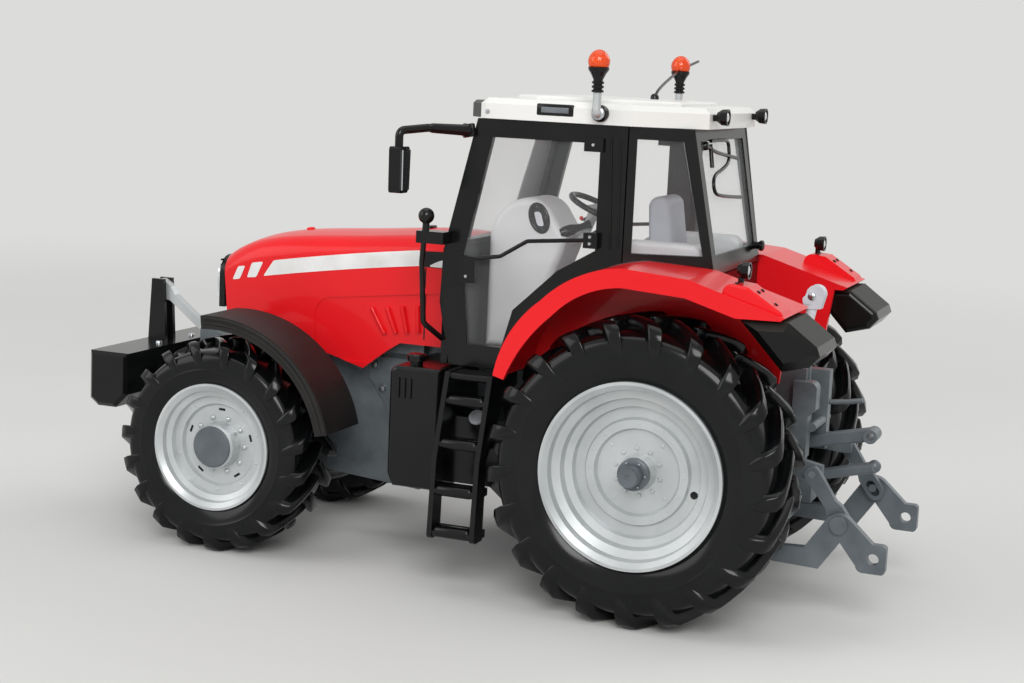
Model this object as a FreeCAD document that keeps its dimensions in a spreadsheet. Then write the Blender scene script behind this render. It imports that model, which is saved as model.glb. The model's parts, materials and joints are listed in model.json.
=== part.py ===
"""Scale-model farm tractor: millimetres, +X forward, +Y to the tractor's left, +Z up."""
import FreeCAD, Part
import math
import os
import re

import Sketcher
from FreeCAD import Placement, Rotation, Vector

doc = FreeCAD.newDocument("Tractor")

# name, millimetres (or a count, or degrees), what it is
SIZES = [
    ("wheelbase", 93, "rear axle to front axle"),
    ("frontReach", 35.5, "front axle to the ballast's front face"),
    ("rearReach", 44.6, "rear axle to the ends of the lower link hooks"),
    ("axlePinRadius", 1.5, "pins that the wheels turn on"),
    ("runningFit", 0.05, "radial clearance of every turning joint"),
    ("seatGap", 0.1, "gap between pieces that lie against each other"),

    ("rearTyreRadius", 29.2, "over the lugs"),
    ("rearTyreWidth", 20.4, "rear tyre section"),
    ("rearTrack", 62.4, "between the rear wheels' centre planes"),
    ("rearRimRadius", 17.8, "outer lip"),
    ("rearLugHeight", 2.2, "lug above the tread"),
    ("rearLugCount", 21, "lugs on each half"),
    ("frontTyreRadius", 22.2, "over the lugs"),
    ("frontTyreWidth", 16.8, "front tyre section"),
    ("frontTrack", 50, "between the front wheels' centre planes"),
    ("frontRimRadius", 13.3, "outer lip"),
    ("frontLugHeight", 1.8, "lug above the tread"),
    ("frontLugCount", 19, "lugs on each half"),
    ("rimWall", 1.0, "rim lip above the rim's barrel"),
    ("beadInset", 2.1, "tyre's side to its bead"),
    ("kingpinInset", 6, "kingpin inside the front wheel's centre plane"),
    ("kingpinRadius", 1.1, "kingpin"),

    ("engineWidth", 13, "engine and front frame casting"),
    ("gearboxWidth", 17, "gearbox and rear axle casting"),
    ("engineRear", 52.4, "joint of engine and gearbox"),
    ("trumpetEnd", 19.2, "rear axle trumpet's end face"),

    ("bonnetRear", 46.6, "bonnet's rear edge"),
    ("bonnetAhead", 10.6, "bonnet's front edge ahead of the front axle"),
    ("bonnetSkin", 1.2, "bonnet wall"),
    ("louvreCount", 4, "ridges on each side of the bonnet"),

    ("cabWidth", 48, "over the side frames"),
    ("cabPanel", 1.4, "thickness of the cab's frames"),
    ("glassThickness", 0.8, "panes"),
    ("floorLow", 43.6, "cab floor's underside"),
    ("floorTop", 45.2, "cab floor's top"),
    ("beltLine", 66.5, "lower edge of the upper windows"),
    ("headerLine", 92.7, "top of the cab frame"),
    ("roofTop", 96.8, "roof's upper face"),
    ("roofBevel", 1.1, "slope round the roof's upper face"),
    ("visorDepth", 3.2, "black front band of the roof"),
    ("pillarB", 9, "rear edge of the door posts"),
    ("rearPost", -7.6, "rear corner at the belt line"),
    ("rearPostTop", -2.6, "rear corner at the header"),
    ("rearPostY", 18, "rear corner from the middle"),

    ("exhaustY", 27, "exhaust's axis from the middle"),
    ("shieldRadius", 2.7, "exhaust's heat shield"),

    ("tankRear", 43.6, "tank's rear face"),
    ("tankInner", 8.7, "tank's inner face from the middle"),
    ("tankOuter", 28.7, "tank's outer face from the middle"),
    ("tankTop", 43, "tank's upper face"),
    ("stepFront", 41.4, "front of the steps"),
    ("stepLength", 10, "steps along the tractor"),
    ("treadThickness", 1.5, "each tread"),

    ("fenderOuter", 38.6, "rear fender's outer face from the middle"),
    ("fenderInner", 18.6, "rear fender's inner wall from the middle"),
    ("fenderWall", 1.2, "rear fender's wall"),
    ("frontFenderRadius", 26.3, "underside, from the front axle"),
    ("frontFenderWidth", 14.4, "front fender across"),
    ("frontFenderOffset", 0.6, "front fender's middle plane outside the wheel's"),
    ("frontFenderSkin", 1.2, "front fender's wall"),
    ("frontFenderLip", 1.6, "lip below the front fender's outer edge"),

    ("linkPivotX", -18, "lower link's front pin"),
    ("linkPivotZ", 13.6, "lower link's front pin"),
    ("linkY", 18.6, "lower link's middle plane"),
    ("linkThickness", 2, "lower link plate"),
    ("armPivotX", -20.6, "lift shaft"),
    ("armPivotZ", 30.5, "lift shaft"),
    ("liftShaftRadius", 1.8, "lift shaft"),
    ("rodTopX", -29.2, "lift rod's upper pin"),
    ("rodTopZ", 28.9, "lift rod's upper pin"),
    ("hookLength", 9.2, "lift rod's lower pin to the hook's end"),
    ("rodFootZ", 20.4, "lift rod's lower pin"),
    ("rodThickness", 1.8, "lift rod across"),
    ("smallPinRadius", 0.8, "pins of the linkages"),
    ("openPinFit", 0.2, "radial clearance at the pin that closes the front linkage"),
    ("floatUp", 0.8, "free travel of the lift rod's slot above its foot pin"),
    ("floatDown", 1, "free travel of the lift rod's slot below its foot pin"),
    ("drawBore", 0.7, "bore in the upper draw bar's boss"),
    ("hookTop", 17.4, "upper edge of the lower link's hook"),
    ("hookBore", 1.1, "bore in the lower link's hook"),
    ("eyeThickness", 2, "eyes of the two top links"),

    ("frontPivotAhead", 10.5, "front linkage pin ahead of the front axle"),
    ("frontPivotZ", 25.4, "front linkage pin"),
    ("ballastPivotAhead", 24.2, "ballast's pin ahead of the front axle"),
    ("ballastPivotZ", 31, "ballast's pin in the front linkage"),
    ("frontArmY", 7.9, "front linkage arm's middle plane"),
    ("frontArmThickness", 2, "front linkage arm plate"),
    ("towerPinAhead", 32.4, "front top link's forward pin ahead of the front axle"),
    ("towerPinZ", 50, "front top link's forward pin"),
    ("topPivotAhead", 19.2, "front top link's rear pin ahead of the front axle"),
    ("topPivotZ", 40, "front top link's rear pin"),
    ("ballastHalf", 24.3, "ballast's half width"),
    ("ballastAhead", 26, "ballast's rear face ahead of the front axle"),

    ("stayPivotX", -21.6, "rear top link's pin"),
    ("stayPivotZ", 45.6, "rear top link's pin"),
]

sheet = doc.addObject("Spreadsheet::Sheet", "Sizes")
for row, (alias, amount, meaning) in enumerate(SIZES, start=1):
    sheet.set(f"A{row}", alias)
    sheet.set(f"B{row}", str(amount))
    sheet.set(f"C{row}", meaning)
    sheet.setAlias(f"B{row}", alias)
doc.recompute()
ALIASES = {alias for alias, amount, meaning in SIZES}

# Places along the tractor and across it that follow from the sizes.
PLACES = {
    "ballastFace": "(wheelbase + frontReach)",
    "ballastRear": "(wheelbase + ballastAhead)",
    "ballastPivotX": "(wheelbase + ballastPivotAhead)",
    "towerPinX": "(wheelbase + towerPinAhead)",
    "topPivotX": "(wheelbase + topPivotAhead)",
    "frontPivotX": "(wheelbase + frontPivotAhead)",
    "bonnetFront": "(wheelbase + bonnetAhead)",
    "bonnetLength": "(wheelbase + bonnetAhead - bonnetRear)",
    "kingpinTrack": "(frontTrack - 2 * kingpinInset)",
    "frontFenderY": "(frontTrack / 2 + frontFenderOffset)",
    "tankFront": "(tankRear + 0.48 * (wheelbase - frontFenderRadius - tankRear))",
    "rodFootX": "(hookLength - rearReach)",
}
ORIGIN_X = "(rearReach - ballastFace) / 2"

nodes = []


def spelled(text):
    """The expression with each place written out in sizes."""
    return re.sub(r"[A-Za-z]\w*", lambda found: PLACES.get(found[0], found[0]), str(text))


def bound(text):
    """The expression with each size's name pointing at the sheet."""
    return re.sub(r"[A-Za-z]\w*", lambda found: "Sizes." + found[0] if found[0] in ALIASES else found[0],
                  spelled(text))


def number(text):
    """The expression's value now."""
    if isinstance(text, (int, float)):
        return float(text)
    return float(sheet.evalExpression(spelled(text)))


def bind(thing, path, text):
    thing.setExpression(path, bound(text))


def settle(thing, at, axis=None, angle=0):
    """Turns the object about its origin and ties its position to the sheet."""
    if axis is not None:
        thing.Placement = Placement(Vector(0, 0, 0), Rotation(axis, angle))
    for letter, amount in zip("xyz", at):
        bind(thing, f"Placement.Base.{letter}", amount)


def plane_of(body, role):
    return [feature for feature in body.Origin.OriginFeatures if feature.Role == role][0]


def draw(body, name, role, loops):
    """A sketch of closed loops on one of the body's own planes.

    A loop is ("circle", u, v, radius) or a list of corners (u, v). A corner (u, v, au, av) is
    reached by an arc through (au, av).
    """
    sketch = body.newObject("Sketcher::SketchObject", name)
    sketch.AttachmentSupport = (plane_of(body, role), [""])
    sketch.MapMode = "FlatFace"

    def pin(geometry, end, axis, text):
        constraint = Sketcher.Constraint("Distance" + axis, -1, 1, geometry, end, number(text))
        index = sketch.addConstraint(constraint)
        if isinstance(text, str):
            bind(sketch, f"Constraints[{index}]", text)

    for loop in loops:
        if loop[0] == "circle":
            centre = Vector(number(loop[1]), number(loop[2]), 0)
            ring = sketch.addGeometry(Part.Circle(centre, Vector(0, 0, 1), number(loop[3])))
            pin(ring, 3, "X", loop[1])
            pin(ring, 3, "Y", loop[2])
            index = sketch.addConstraint(Sketcher.Constraint("Radius", ring, number(loop[3])))
            if isinstance(loop[3], str):
                bind(sketch, f"Constraints[{index}]", loop[3])
            continue
        points = [Vector(number(corner[0]), number(corner[1]), 0) for corner in loop]
        ends = []
        for turn, corner in enumerate(loop):
            start, end = points[turn - 1], points[turn]
            if len(corner) == 4:
                through = Vector(number(corner[2]), number(corner[3]), 0)
                forward = (through - start).cross(end - through).z > 0
                first, last = (start, end) if forward else (end, start)
                edge = sketch.addGeometry(Part.Arc(first, through, last))
                mark = sketch.addGeometry(Part.Point(through), True)
                pin(mark, 1, "X", corner[2])
                pin(mark, 1, "Y", corner[3])
                sketch.addConstraint(Sketcher.Constraint("PointOnObject", mark, 1, edge))
            else:
                forward = True
                edge = sketch.addGeometry(Part.LineSegment(start, end))
            ends.append((edge, 1, 2) if forward else (edge, 2, 1))
        for turn, (edge, first, last) in enumerate(ends):
            following = ends[(turn + 1) % len(ends)]
            sketch.addConstraint(Sketcher.Constraint("Coincident", edge, last, following[0], following[1]))
            pin(edge, last, "X", loop[turn][0])
            pin(edge, last, "Y", loop[turn][1])
    return sketch


def plate(name, role, loops, thickness, at=(0, 0, 0), axis=None, angle=0):
    """A body padded evenly to both sides of its sketch; loops after the first are holes."""
    body = doc.addObject("PartDesign::Body", name)
    sketch = draw(body, name + "_outline", role, loops)
    pad = body.newObject("PartDesign::Pad", name + "_pad")
    pad.Profile = sketch
    pad.SideType = "Symmetric"
    bind(pad, "Length", thickness)
    settle(body, at, axis, angle)
    return body


def turned(name, profile, at=(0, 0, 0), turn=360, axis=None, angle=0):
    """A body turned about the Y axis; the profile's columns are y and radius."""
    body = doc.addObject("PartDesign::Body", name)
    sketch = draw(body, name + "_profile", "YZ_Plane", [profile])
    shape = body.newObject("PartDesign::Revolution", name + "_turn")
    shape.Profile = sketch
    shape.ReferenceAxis = (sketch, ["H_Axis"])
    shape.Midplane = turn < 360
    shape.Angle = turn
    settle(body, at, axis, angle)
    return body


def upright(name, profile, at=(0, 0, 0)):
    """A body turned about the vertical; the profile's columns are radius and z."""
    body = doc.addObject("PartDesign::Body", name)
    sketch = draw(body, name + "_profile", "XZ_Plane", [profile])
    shape = body.newObject("PartDesign::Revolution", name + "_turn")
    shape.Profile = sketch
    shape.ReferenceAxis = (sketch, ["V_Axis"])
    shape.Angle = 360
    settle(body, at)
    return body


def softened(body, direction, size, kind="Fillet"):
    """Rounds, or chamfers, the rim of the body's face that lies furthest in a direction."""
    doc.recompute()
    base = body.Tip
    reach = [face.CenterOfMass.dot(direction) for face in base.Shape.Faces]
    edge = body.newObject(f"PartDesign::{kind}", f"{body.Name}_{kind.lower()}_{len(body.Group)}")
    edge.Base = (base, [f"Face{reach.index(max(reach)) + 1}"])
    bind(edge, "Radius" if kind == "Fillet" else "Size", size)
    return body


LEFT, RIGHT = Vector(0, 1, 0), Vector(0, -1, 0)
FRONT, UP = Vector(1, 0, 0), Vector(0, 0, 1)


def block(name, low, high):
    """A box between two corners, each coordinate an expression."""
    box = doc.addObject("Part::Box", name)
    for side, first, last in zip(("Length", "Width", "Height"), low, high):
        bind(box, side, f"({last}) - ({first})")
    settle(box, low)
    return box


def pin_y(name, x, z, radius, y_from, y_to):
    """A cylinder along Y."""
    rod = doc.addObject("Part::Cylinder", name)
    bind(rod, "Radius", radius)
    bind(rod, "Height", f"({y_to}) - ({y_from})")
    settle(rod, (x, y_from, z), Vector(-1, 0, 0), 90)
    return rod


def pin_z(name, x, y, radius, z_from, z_to):
    """A cylinder along Z."""
    rod = doc.addObject("Part::Cylinder", name)
    bind(rod, "Radius", radius)
    bind(rod, "Height", f"({z_to}) - ({z_from})")
    settle(rod, (x, y, z_from))
    return rod


def tube(name, route, radius, bend):
    """A round bar along the route's corners, with an arc of the bend's radius at each one."""
    points = [Vector(*[number(part) for part in corner]) for corner in route]
    edges = []
    start = points[0]
    for before, corner, after in zip(points, points[1:], points[2:]):
        inward = (before - corner).normalize()
        outward = (after - corner).normalize()
        half = inward.getAngle(outward) / 2
        reach = number(bend) / math.tan(half)
        first = corner + inward * reach
        last = corner + outward * reach
        middle = (inward + outward).normalize()
        through = corner + middle * (number(bend) / math.sin(half) - number(bend))
        edges.append(Part.makeLine(start, first))
        edges.append(Part.Arc(first, through, last).toShape())
        start = last
    edges.append(Part.makeLine(start, points[-1]))
    path = Part.Wire(edges)
    direction = (edges[0].Vertexes[-1].Point - edges[0].Vertexes[0].Point).normalize()
    ring = Part.Wire(Part.makeCircle(number(radius), points[0], direction))
    bar = doc.addObject("Part::Feature", name)
    bar.Shape = path.makePipeShell([ring], True, False)
    return bar


def fused(name, things):
    fuse = doc.addObject("Part::MultiFuse", name)
    fuse.Shapes = things
    return fuse


def without(name, base, tool):
    cut = doc.addObject("Part::Cut", name)
    cut.Base = base
    cut.Tool = tool
    return cut


def other_side(thing):
    """The same piece on the other side of the tractor's middle plane."""
    mirror = doc.addObject("Part::Mirroring", thing.Name + "_mirrored")
    mirror.Source = thing
    mirror.Normal = Vector(0, 1, 0)
    return mirror


def node(name, things):
    """One piece of the model, moved from the rear axle's frame to the model's own."""
    group = doc.addObject("Part::Compound", name)
    group.Label = name
    group.Links = things
    bind(group, "Placement.Base.x", ORIGIN_X)
    nodes.append(group)
    return group


def both_sides(name, thing):
    return node(name, [thing, other_side(thing)])


# Wheels. Rim profiles: depth from the rim's outer face towards the tractor, radius.
REAR_DISH = [
    (0.0, "rearRimRadius"),
    (0.0, "rearRimRadius - 0.6"),
    (0.8, "rearRimRadius - 1.6"),
    (2.2, "rearRimRadius - 1.9"),
    (2.8, "rearRimRadius - 3.4"),
    (4.2, "rearRimRadius - 3.8"),
    (4.6, "rearRimRadius - 5.2"),
    (5.8, "rearRimRadius - 5.5"),
    (5.8, "rearRimRadius - 7.4"),
    (5.0, "rearRimRadius - 7.8"),
    (5.0, "rearRimRadius - 9.4"),
    (6.0, "rearRimRadius - 9.8"),
    (6.0, 3.6),
    (4.6, 3.0),
    (2.6, 2.9),
    (2.6, 1.9),
    (-0.4, 1.7),
    (-0.4, 0.0),
]
REAR_BACK = [
    (4.6, 0.0),
    (4.6, "axlePinRadius + runningFit"),
    (14.0, "axlePinRadius + runningFit"),
    (14.0, 4.4),
    (8.2, 5.2),
    (7.6, "rearRimRadius - 3.2"),
    (17.4, "rearRimRadius - 2.2"),
    (19.0, "rearRimRadius - 1.4"),
    (19.0, "rearRimRadius"),
    (18.2, "rearRimRadius"),
    (18.2, "rearRimRadius - rimWall"),
    (0.9, "rearRimRadius - rimWall"),
    (0.9, "rearRimRadius"),
]
FRONT_DISH = [
    (0.0, "frontRimRadius"),
    (0.0, "frontRimRadius - 0.5"),
    (0.7, "frontRimRadius - 1.5"),
    (1.8, "frontRimRadius - 1.7"),
    (2.2, "frontRimRadius - 2.8"),
    (3.4, "frontRimRadius - 3.0"),
    (3.4, "frontRimRadius - 4.6"),
    (4.2, "frontRimRadius - 5.0"),
    (4.2, 4.9),
    (1.2, 4.7),
    (0.6, 4.2),
    (0.6, 0.0),
]
FRONT_BACK = [
    (2.8, 0.0),
    (2.8, "axlePinRadius + runningFit"),
    (7.2, "axlePinRadius + runningFit"),
    (7.2, 4.0),
    (5.8, 4.6),
    (5.6, "frontRimRadius - 2.8"),
    (13.6, "frontRimRadius - 1.9"),
    (15.3, "frontRimRadius - 1.3"),
    (15.3, "frontRimRadius"),
    (14.6, "frontRimRadius"),
    (14.6, "frontRimRadius - rimWall"),
    (0.8, "frontRimRadius - rimWall"),
    (0.8, "frontRimRadius"),
]
# axle, its x, dish and back profiles
WHEELS = [
    ("rear", "0", REAR_DISH, REAR_BACK),
    ("front", "wheelbase", FRONT_DISH, FRONT_BACK),
]
# Stations of the tread from the middle to the side: share of the half width, turn and half
# width and flank of a lug in pitches, tread below the crown in mm, share of the lug's height
TREAD = [
    (0.00, 0.45, 0.10, 0.04, 0.0, 1.00),
    (0.86, -0.35, 0.17, 0.05, 0.2, 0.95),
    (1.00, -0.50, 0.17, 0.05, 4.2, 0.75),
]


def half_tyre(radius, half, crown, bore, bead, count):
    """One half of a tyre in flat facets: lugs that sweep back to the shoulder, wall and bead."""
    pitch = 2 * math.pi / count
    corners = 2 * count
    faces = []

    def place(distance, turn, y):
        return Vector(distance * math.sin(turn * pitch), y, distance * math.cos(turn * pitch))

    def facet(*points):
        faces.append(Part.Face(Part.makePolygon([*points, points[0]])))

    rows = []
    for share, turn, wide, flank, drop, rise in TREAD:
        y = share * half
        low = crown - drop
        high = low + rise * (radius - crown)
        row = []
        for lug in range(count):
            middle = lug + turn
            row += [place(low, middle - wide - flank, y), place(high, middle - wide, y),
                    place(high, middle + wide, y), place(low, middle + wide + flank, y)]
        rows.append(row)
    for near, far in zip(rows, rows[1:]):
        for step in range(4 * count):
            following = (step + 1) % (4 * count)
            facet(near[step], near[following], far[following])
            facet(near[step], far[following], far[step])

    last_turn = TREAD[-1][1]
    rings = [[place(distance, step / 2 + last_turn - 0.25, y) for step in range(corners)]
             for distance, y in (((bore + crown) / 2, half), (bore, half - bead), (bore, 0))]
    edge, wall = rows[-1], rings[0]
    for lug in range(count):
        start, rise, fall, end = edge[4 * lug:4 * lug + 4]
        following = edge[(4 * lug + 4) % (4 * count)]
        first, second = wall[2 * lug:2 * lug + 2]
        third = wall[(2 * lug + 2) % corners]
        facet(start, rise, first)
        facet(rise, fall, second)
        facet(rise, second, first)
        facet(fall, end, second)
        facet(end, following, third)
        facet(end, third, second)
    for near, far in zip(rings, rings[1:]):
        for step in range(corners):
            following = (step + 1) % corners
            facet(near[step], near[following], far[following], far[step])
    middle_rim = Part.makePolygon([*rows[0], rows[0][0]])
    middle_bore = Part.makePolygon([*rings[-1], rings[-1][0]])
    faces += Part.Face(middle_rim).cut(Part.Face(middle_bore)).Faces
    shell = Part.Shell(faces)
    shell.sewShape()
    solid = Part.Solid(shell)
    if solid.Volume < 0:
        solid.reverse()
    return solid


def tyre_shape(axle):
    """Both halves, the second turned on by half a lug."""
    count = int(number(f"{axle}LugCount"))
    radius = number(f"{axle}TyreRadius")
    crown = radius - number(f"{axle}LugHeight")
    bore = (number(f"{axle}RimRadius - rimWall + seatGap")) / math.cos(math.pi / count / 2)
    left = half_tyre(radius, number(f"{axle}TyreWidth") / 2, crown, bore, number("beadInset"), count)
    right = left.mirror(Vector(0, 0, 0), Vector(0, 1, 0))
    right.rotate(Vector(0, 0, 0), Vector(0, 1, 0), 180 / count)
    return left.fuse(right).removeSplitter()


for axle, axle_x, dish, back in WHEELS:
    rubber = tyre_shape(axle)
    for hand, side in (("left", 1), ("right", -1)):
        face = f"{axle}TyreWidth / 2 - beadInset + 1.4"
        outline = [(f"{side} * ({face} - ({depth}))", radius) for depth, radius in dish + back]
        rim = turned(f"{axle}_rim_{hand}_disc", outline,
                     (axle_x, f"{side} * {axle}Track / 2", f"{axle}TyreRadius"))
        node(f"{axle}_rim_{hand}", [rim])
        tyre = doc.addObject("Part::Feature", f"{axle}_tyre_{hand}_rubber")
        tyre.Shape = rubber
        settle(tyre, (axle_x, f"{side} * {axle}Track / 2", f"{axle}TyreRadius"))
        node(f"{axle}_tyre_{hand}", [tyre])


# Castings: engine with the front frame, gearbox with the rear axle, front axle beam.
engine = plate("engine_casting", "XZ_Plane", [[
    ("frontPivotX + 1.6", "frontPivotZ - 2.4"),
    ("frontPivotX + 1.6", 38),
    ("bonnetFront - 5", 44),
    ("bonnetFront - 5", 50),
    ("engineRear + seatGap", 50),
    ("engineRear + seatGap", 17),
    (57, 12.6),
    ("wheelbase - 12", 14.6),
    ("wheelbase - 7.5", 26.6),
    ("wheelbase + 7", 26.6),
    ("frontPivotX - 2", "frontPivotZ - 2.4"),
]], "engineWidth")
cylinders = block("engine_cylinders", (56, -9, 42), ("bonnetFront - 7", 9, 57))
arm_pin = pin_y("front_arm_pin", "frontPivotX", "frontPivotZ", "smallPinRadius",
                "-frontArmY - frontArmThickness / 2 - 0.4", "frontArmY + frontArmThickness / 2 + 0.4")
nose = plate("nose_bracket", "XZ_Plane", [[
    ("frontPivotX", 32), ("frontPivotX + 3", 32), ("topPivotX + 1.8", "topPivotZ - 1.8"),
    ("topPivotX + 1.8", "topPivotZ + 1.6"), ("topPivotX - 1.6", "topPivotZ + 1.8"), ("frontPivotX", 38),
]], 4.8)
nose_slot = block("nose_slot", ("topPivotX - 2.6", "-eyeThickness / 2 - 0.15", 30),
                  ("topPivotX + 3", "eyeThickness / 2 + 0.15", 45))
nose_pin = pin_y("nose_pin", "topPivotX", "topPivotZ", "smallPinRadius", -2.4, 2.4)
crankcase = plate("crankcase_cover", "XZ_Plane", [[
    ("engineRear + 1.5", 22), ("engineRear + 1.5", 40.6), ("engineRear + 17", 40.6), ("engineRear + 17", 36),
    ("engineRear + 12.5", 30), ("engineRear + 11", 22),
]], "engineWidth + 1.4")
filter_can = turned("oil_filter", [
    ("engineWidth / 2 - 1", 0), ("engineWidth / 2 - 1", 1.5), ("engineWidth / 2 + 3.2", 1.5),
    ("engineWidth / 2 + 3.6", 1.1), ("engineWidth / 2 + 3.6", 0),
], ("engineRear + 8", 0, 33))
# Bolt heads on both sides of the casting: x behind which, z
HEADS = [(2.6, 38.8), (9, 38.8), (15.6, 38.8), (2.6, 31), (2.6, 23.6), (9.6, 24)]
heads = [pin_y(f"casting_bolt_{row}", f"engineRear + {ahead}", z, 0.5, "-engineWidth / 2 - 1.1",
               "engineWidth / 2 + 1.1") for row, (ahead, z) in enumerate(HEADS)]
node("engine_block", [fused("engine_whole", [
    engine, cylinders, arm_pin, without("nose_fork", nose, nose_slot), nose_pin, crankcase, filter_can,
] + heads)])

gearbox = plate("gearbox_casting", "XZ_Plane", [[
    ("engineRear", 18),
    ("engineRear", 42.6),
    (-12, "floorLow - 1"),
    (-18.5, 38),
    (-18.5, 21),
    (-12, 17.6),
    (12, 17.6),
    (30, 15.4),
]], "gearboxWidth")
trumpets = []
for hand, side in (("left", 1), ("right", -1)):
    trumpets.append(turned(f"trumpet_{hand}", [
        (f"{side} * (gearboxWidth / 2 - 1)", 0),
        (f"{side} * (gearboxWidth / 2 - 1)", 8),
        (f"{side} * (gearboxWidth / 2 + 2)", 6.4),
        (f"{side} * (trumpetEnd - 2)", 5.0),
        (f"{side} * (trumpetEnd - 2)", 6.2),
        (f"{side} * trumpetEnd", 6.2),
        (f"{side} * trumpetEnd", "axlePinRadius"),
        (f"{side} * (rearTrack / 2 + rearTyreWidth / 2 - 6)", "axlePinRadius"),
        (f"{side} * (rearTrack / 2 + rearTyreWidth / 2 - 6)", 0),
    ], (0, 0, "rearTyreRadius")))
link_bracket = plate("link_bracket", "XZ_Plane", [[
    (-12, 18.4), (-18.4, 19.8), ("linkPivotX - 1.8", "linkPivotZ + 1.4"), ("linkPivotX - 1.8", "linkPivotZ - 1.4"),
    ("linkPivotX + 1.8", "linkPivotZ - 1.4"),
]], "gearboxWidth - 3")
link_shaft = pin_y("link_shaft", "linkPivotX", "linkPivotZ", 1.7,
                   "-linkY + linkThickness / 2 + seatGap", "linkY - linkThickness / 2 - seatGap")
link_pin = pin_y("link_pin", "linkPivotX", "linkPivotZ", "smallPinRadius",
                 "-linkY - linkThickness / 2 - 0.3", "linkY + linkThickness / 2 + 0.3")
node("transmission", [fused("transmission_whole", [gearbox, link_bracket, link_shaft, link_pin] + trumpets)])

beam = plate("axle_beam", "YZ_Plane", [[
    ("kingpinTrack / 2 - 1.4", "frontTyreRadius - 1.6"),
    ("kingpinTrack / 2 - 1.4", "frontTyreRadius + 1.6"),
    (6, "frontTyreRadius + 2.4"),
    (4, "frontTyreRadius + 3.8"),
    (-4, "frontTyreRadius + 3.8"),
    (-6, "frontTyreRadius + 2.4"),
    ("-kingpinTrack / 2 + 1.4", "frontTyreRadius + 1.6"),
    ("-kingpinTrack / 2 + 1.4", "frontTyreRadius - 1.6"),
    (-6, "frontTyreRadius - 2.6"),
    (-3.4, "frontTyreRadius - 5"),
    (3.4, "frontTyreRadius - 5"),
    (6, "frontTyreRadius - 2.6"),
]], 5, ("wheelbase", 0, 0))
eyes = []
for hand, side in (("left", 1), ("right", -1)):
    eye = pin_z(f"axle_eye_{hand}", "wheelbase", f"{side} * kingpinTrack / 2", 2.7,
                "frontTyreRadius - 3", "frontTyreRadius + 3")
    bore = pin_z(f"axle_eye_bore_{hand}", "wheelbase", f"{side} * kingpinTrack / 2",
                 "kingpinRadius + runningFit", "frontTyreRadius - 4", "frontTyreRadius + 4")
    eyes.append((eye, bore))
axle_blank = fused("axle_blank", [beam] + [eye for eye, bore in eyes])
bores = fused("axle_bores", [bore for eye, bore in eyes])
node("front_axle", [without("axle_whole", axle_blank, bores)])

# Steering knuckles with the stub axle, and the fenders that turn with them.
for hand, side in (("left", 1), ("right", -1)):
    king_y = f"{side} * kingpinTrack / 2"
    pin = pin_z(f"kingpin_{hand}", "wheelbase", king_y, "kingpinRadius",
                "frontTyreRadius - 4.6", "frontTyreRadius + 4.6")
    fork = plate(f"fork_{hand}", "YZ_Plane", [[
        (f"{side} * (kingpinTrack / 2 - 2.2)", 3.1),
        (f"{side} * (kingpinTrack / 2 - 2.2)", 4.8),
        (f"{side} * (kingpinTrack / 2 + 5.2)", 4.8),
        (f"{side} * (kingpinTrack / 2 + 5.2)", -4.8),
        (f"{side} * (kingpinTrack / 2 - 2.2)", -4.8),
        (f"{side} * (kingpinTrack / 2 - 2.2)", -3.1),
        (f"{side} * (kingpinTrack / 2 + 3.2)", -3.1),
        (f"{side} * (kingpinTrack / 2 + 3.2)", 3.1),
    ]], 5.6, ("wheelbase", 0, "frontTyreRadius"))
    low = "kingpinTrack / 2 + 4" if side > 0 else "-(frontTrack + frontTyreWidth) / 2 + 4.2"
    high = "(frontTrack + frontTyreWidth) / 2 - 4.2" if side > 0 else "-(kingpinTrack / 2 + 4)"
    stub = pin_y(f"stub_{hand}", "wheelbase", "frontTyreRadius", "axlePinRadius", low, high)
    stay = plate(f"fender_stay_{hand}", "YZ_Plane", [[
        (f"{side} * (kingpinTrack / 2 - 2)", 3.2),
        (f"{side} * (kingpinTrack / 2 - 2)", 4.8),
        (f"{side} * (frontTrack / 2 - frontTyreWidth / 2 - 0.7)", 6.2),
        (f"{side} * (frontTrack / 2 - frontTyreWidth / 2 - 0.7)", "frontFenderRadius - 1.2"),
        (f"{side} * (frontFenderY - frontFenderWidth / 2 + 3)", "frontFenderRadius - 1.2"),
        (f"{side} * (frontFenderY - frontFenderWidth / 2 + 3)", "frontFenderRadius - seatGap"),
        (f"{side} * (frontTrack / 2 - frontTyreWidth / 2 - 2)", "frontFenderRadius - seatGap"),
        (f"{side} * (frontTrack / 2 - frontTyreWidth / 2 - 2)", 5.2),
        (f"{side} * (kingpinTrack / 2 - 4)", 3.2),
    ]], 3, ("wheelbase", 0, "frontTyreRadius"))
    node(f"knuckle_{hand}", [fused(f"knuckle_{hand}_whole", [fork, pin, stub, stay])])

    outer = f"{side} * frontFenderWidth / 2"
    fender = turned(f"fender_{hand}_skin", [
        (f"-({outer})", "frontFenderRadius"),
        (f"-({outer})", "frontFenderRadius + frontFenderSkin"),
        (outer, "frontFenderRadius + frontFenderSkin"),
        (outer, "frontFenderRadius - frontFenderLip"),
        (f"{outer} - {side} * 0.9", "frontFenderRadius - frontFenderLip"),
        (f"{outer} - {side} * 0.9", "frontFenderRadius"),
    ], ("wheelbase", f"{side} * frontFenderY", "frontTyreRadius"), 84, Vector(0, -1, 0), 36)
    node(f"front_fender_{hand}", [fender])


# Bonnet. Sections: share of the length behind the front edge, half width, height of the top.
BONNET = [
    (0.00, 10.6, 59.8),
    (0.12, 11.8, 63.2),
    (0.42, 12.6, 65.8),
    (0.72, 12.8, 67.2),
    (1.00, 12.8, 67.4),
]
SHOULDER = 4.6
CROWN = 0.7


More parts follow.
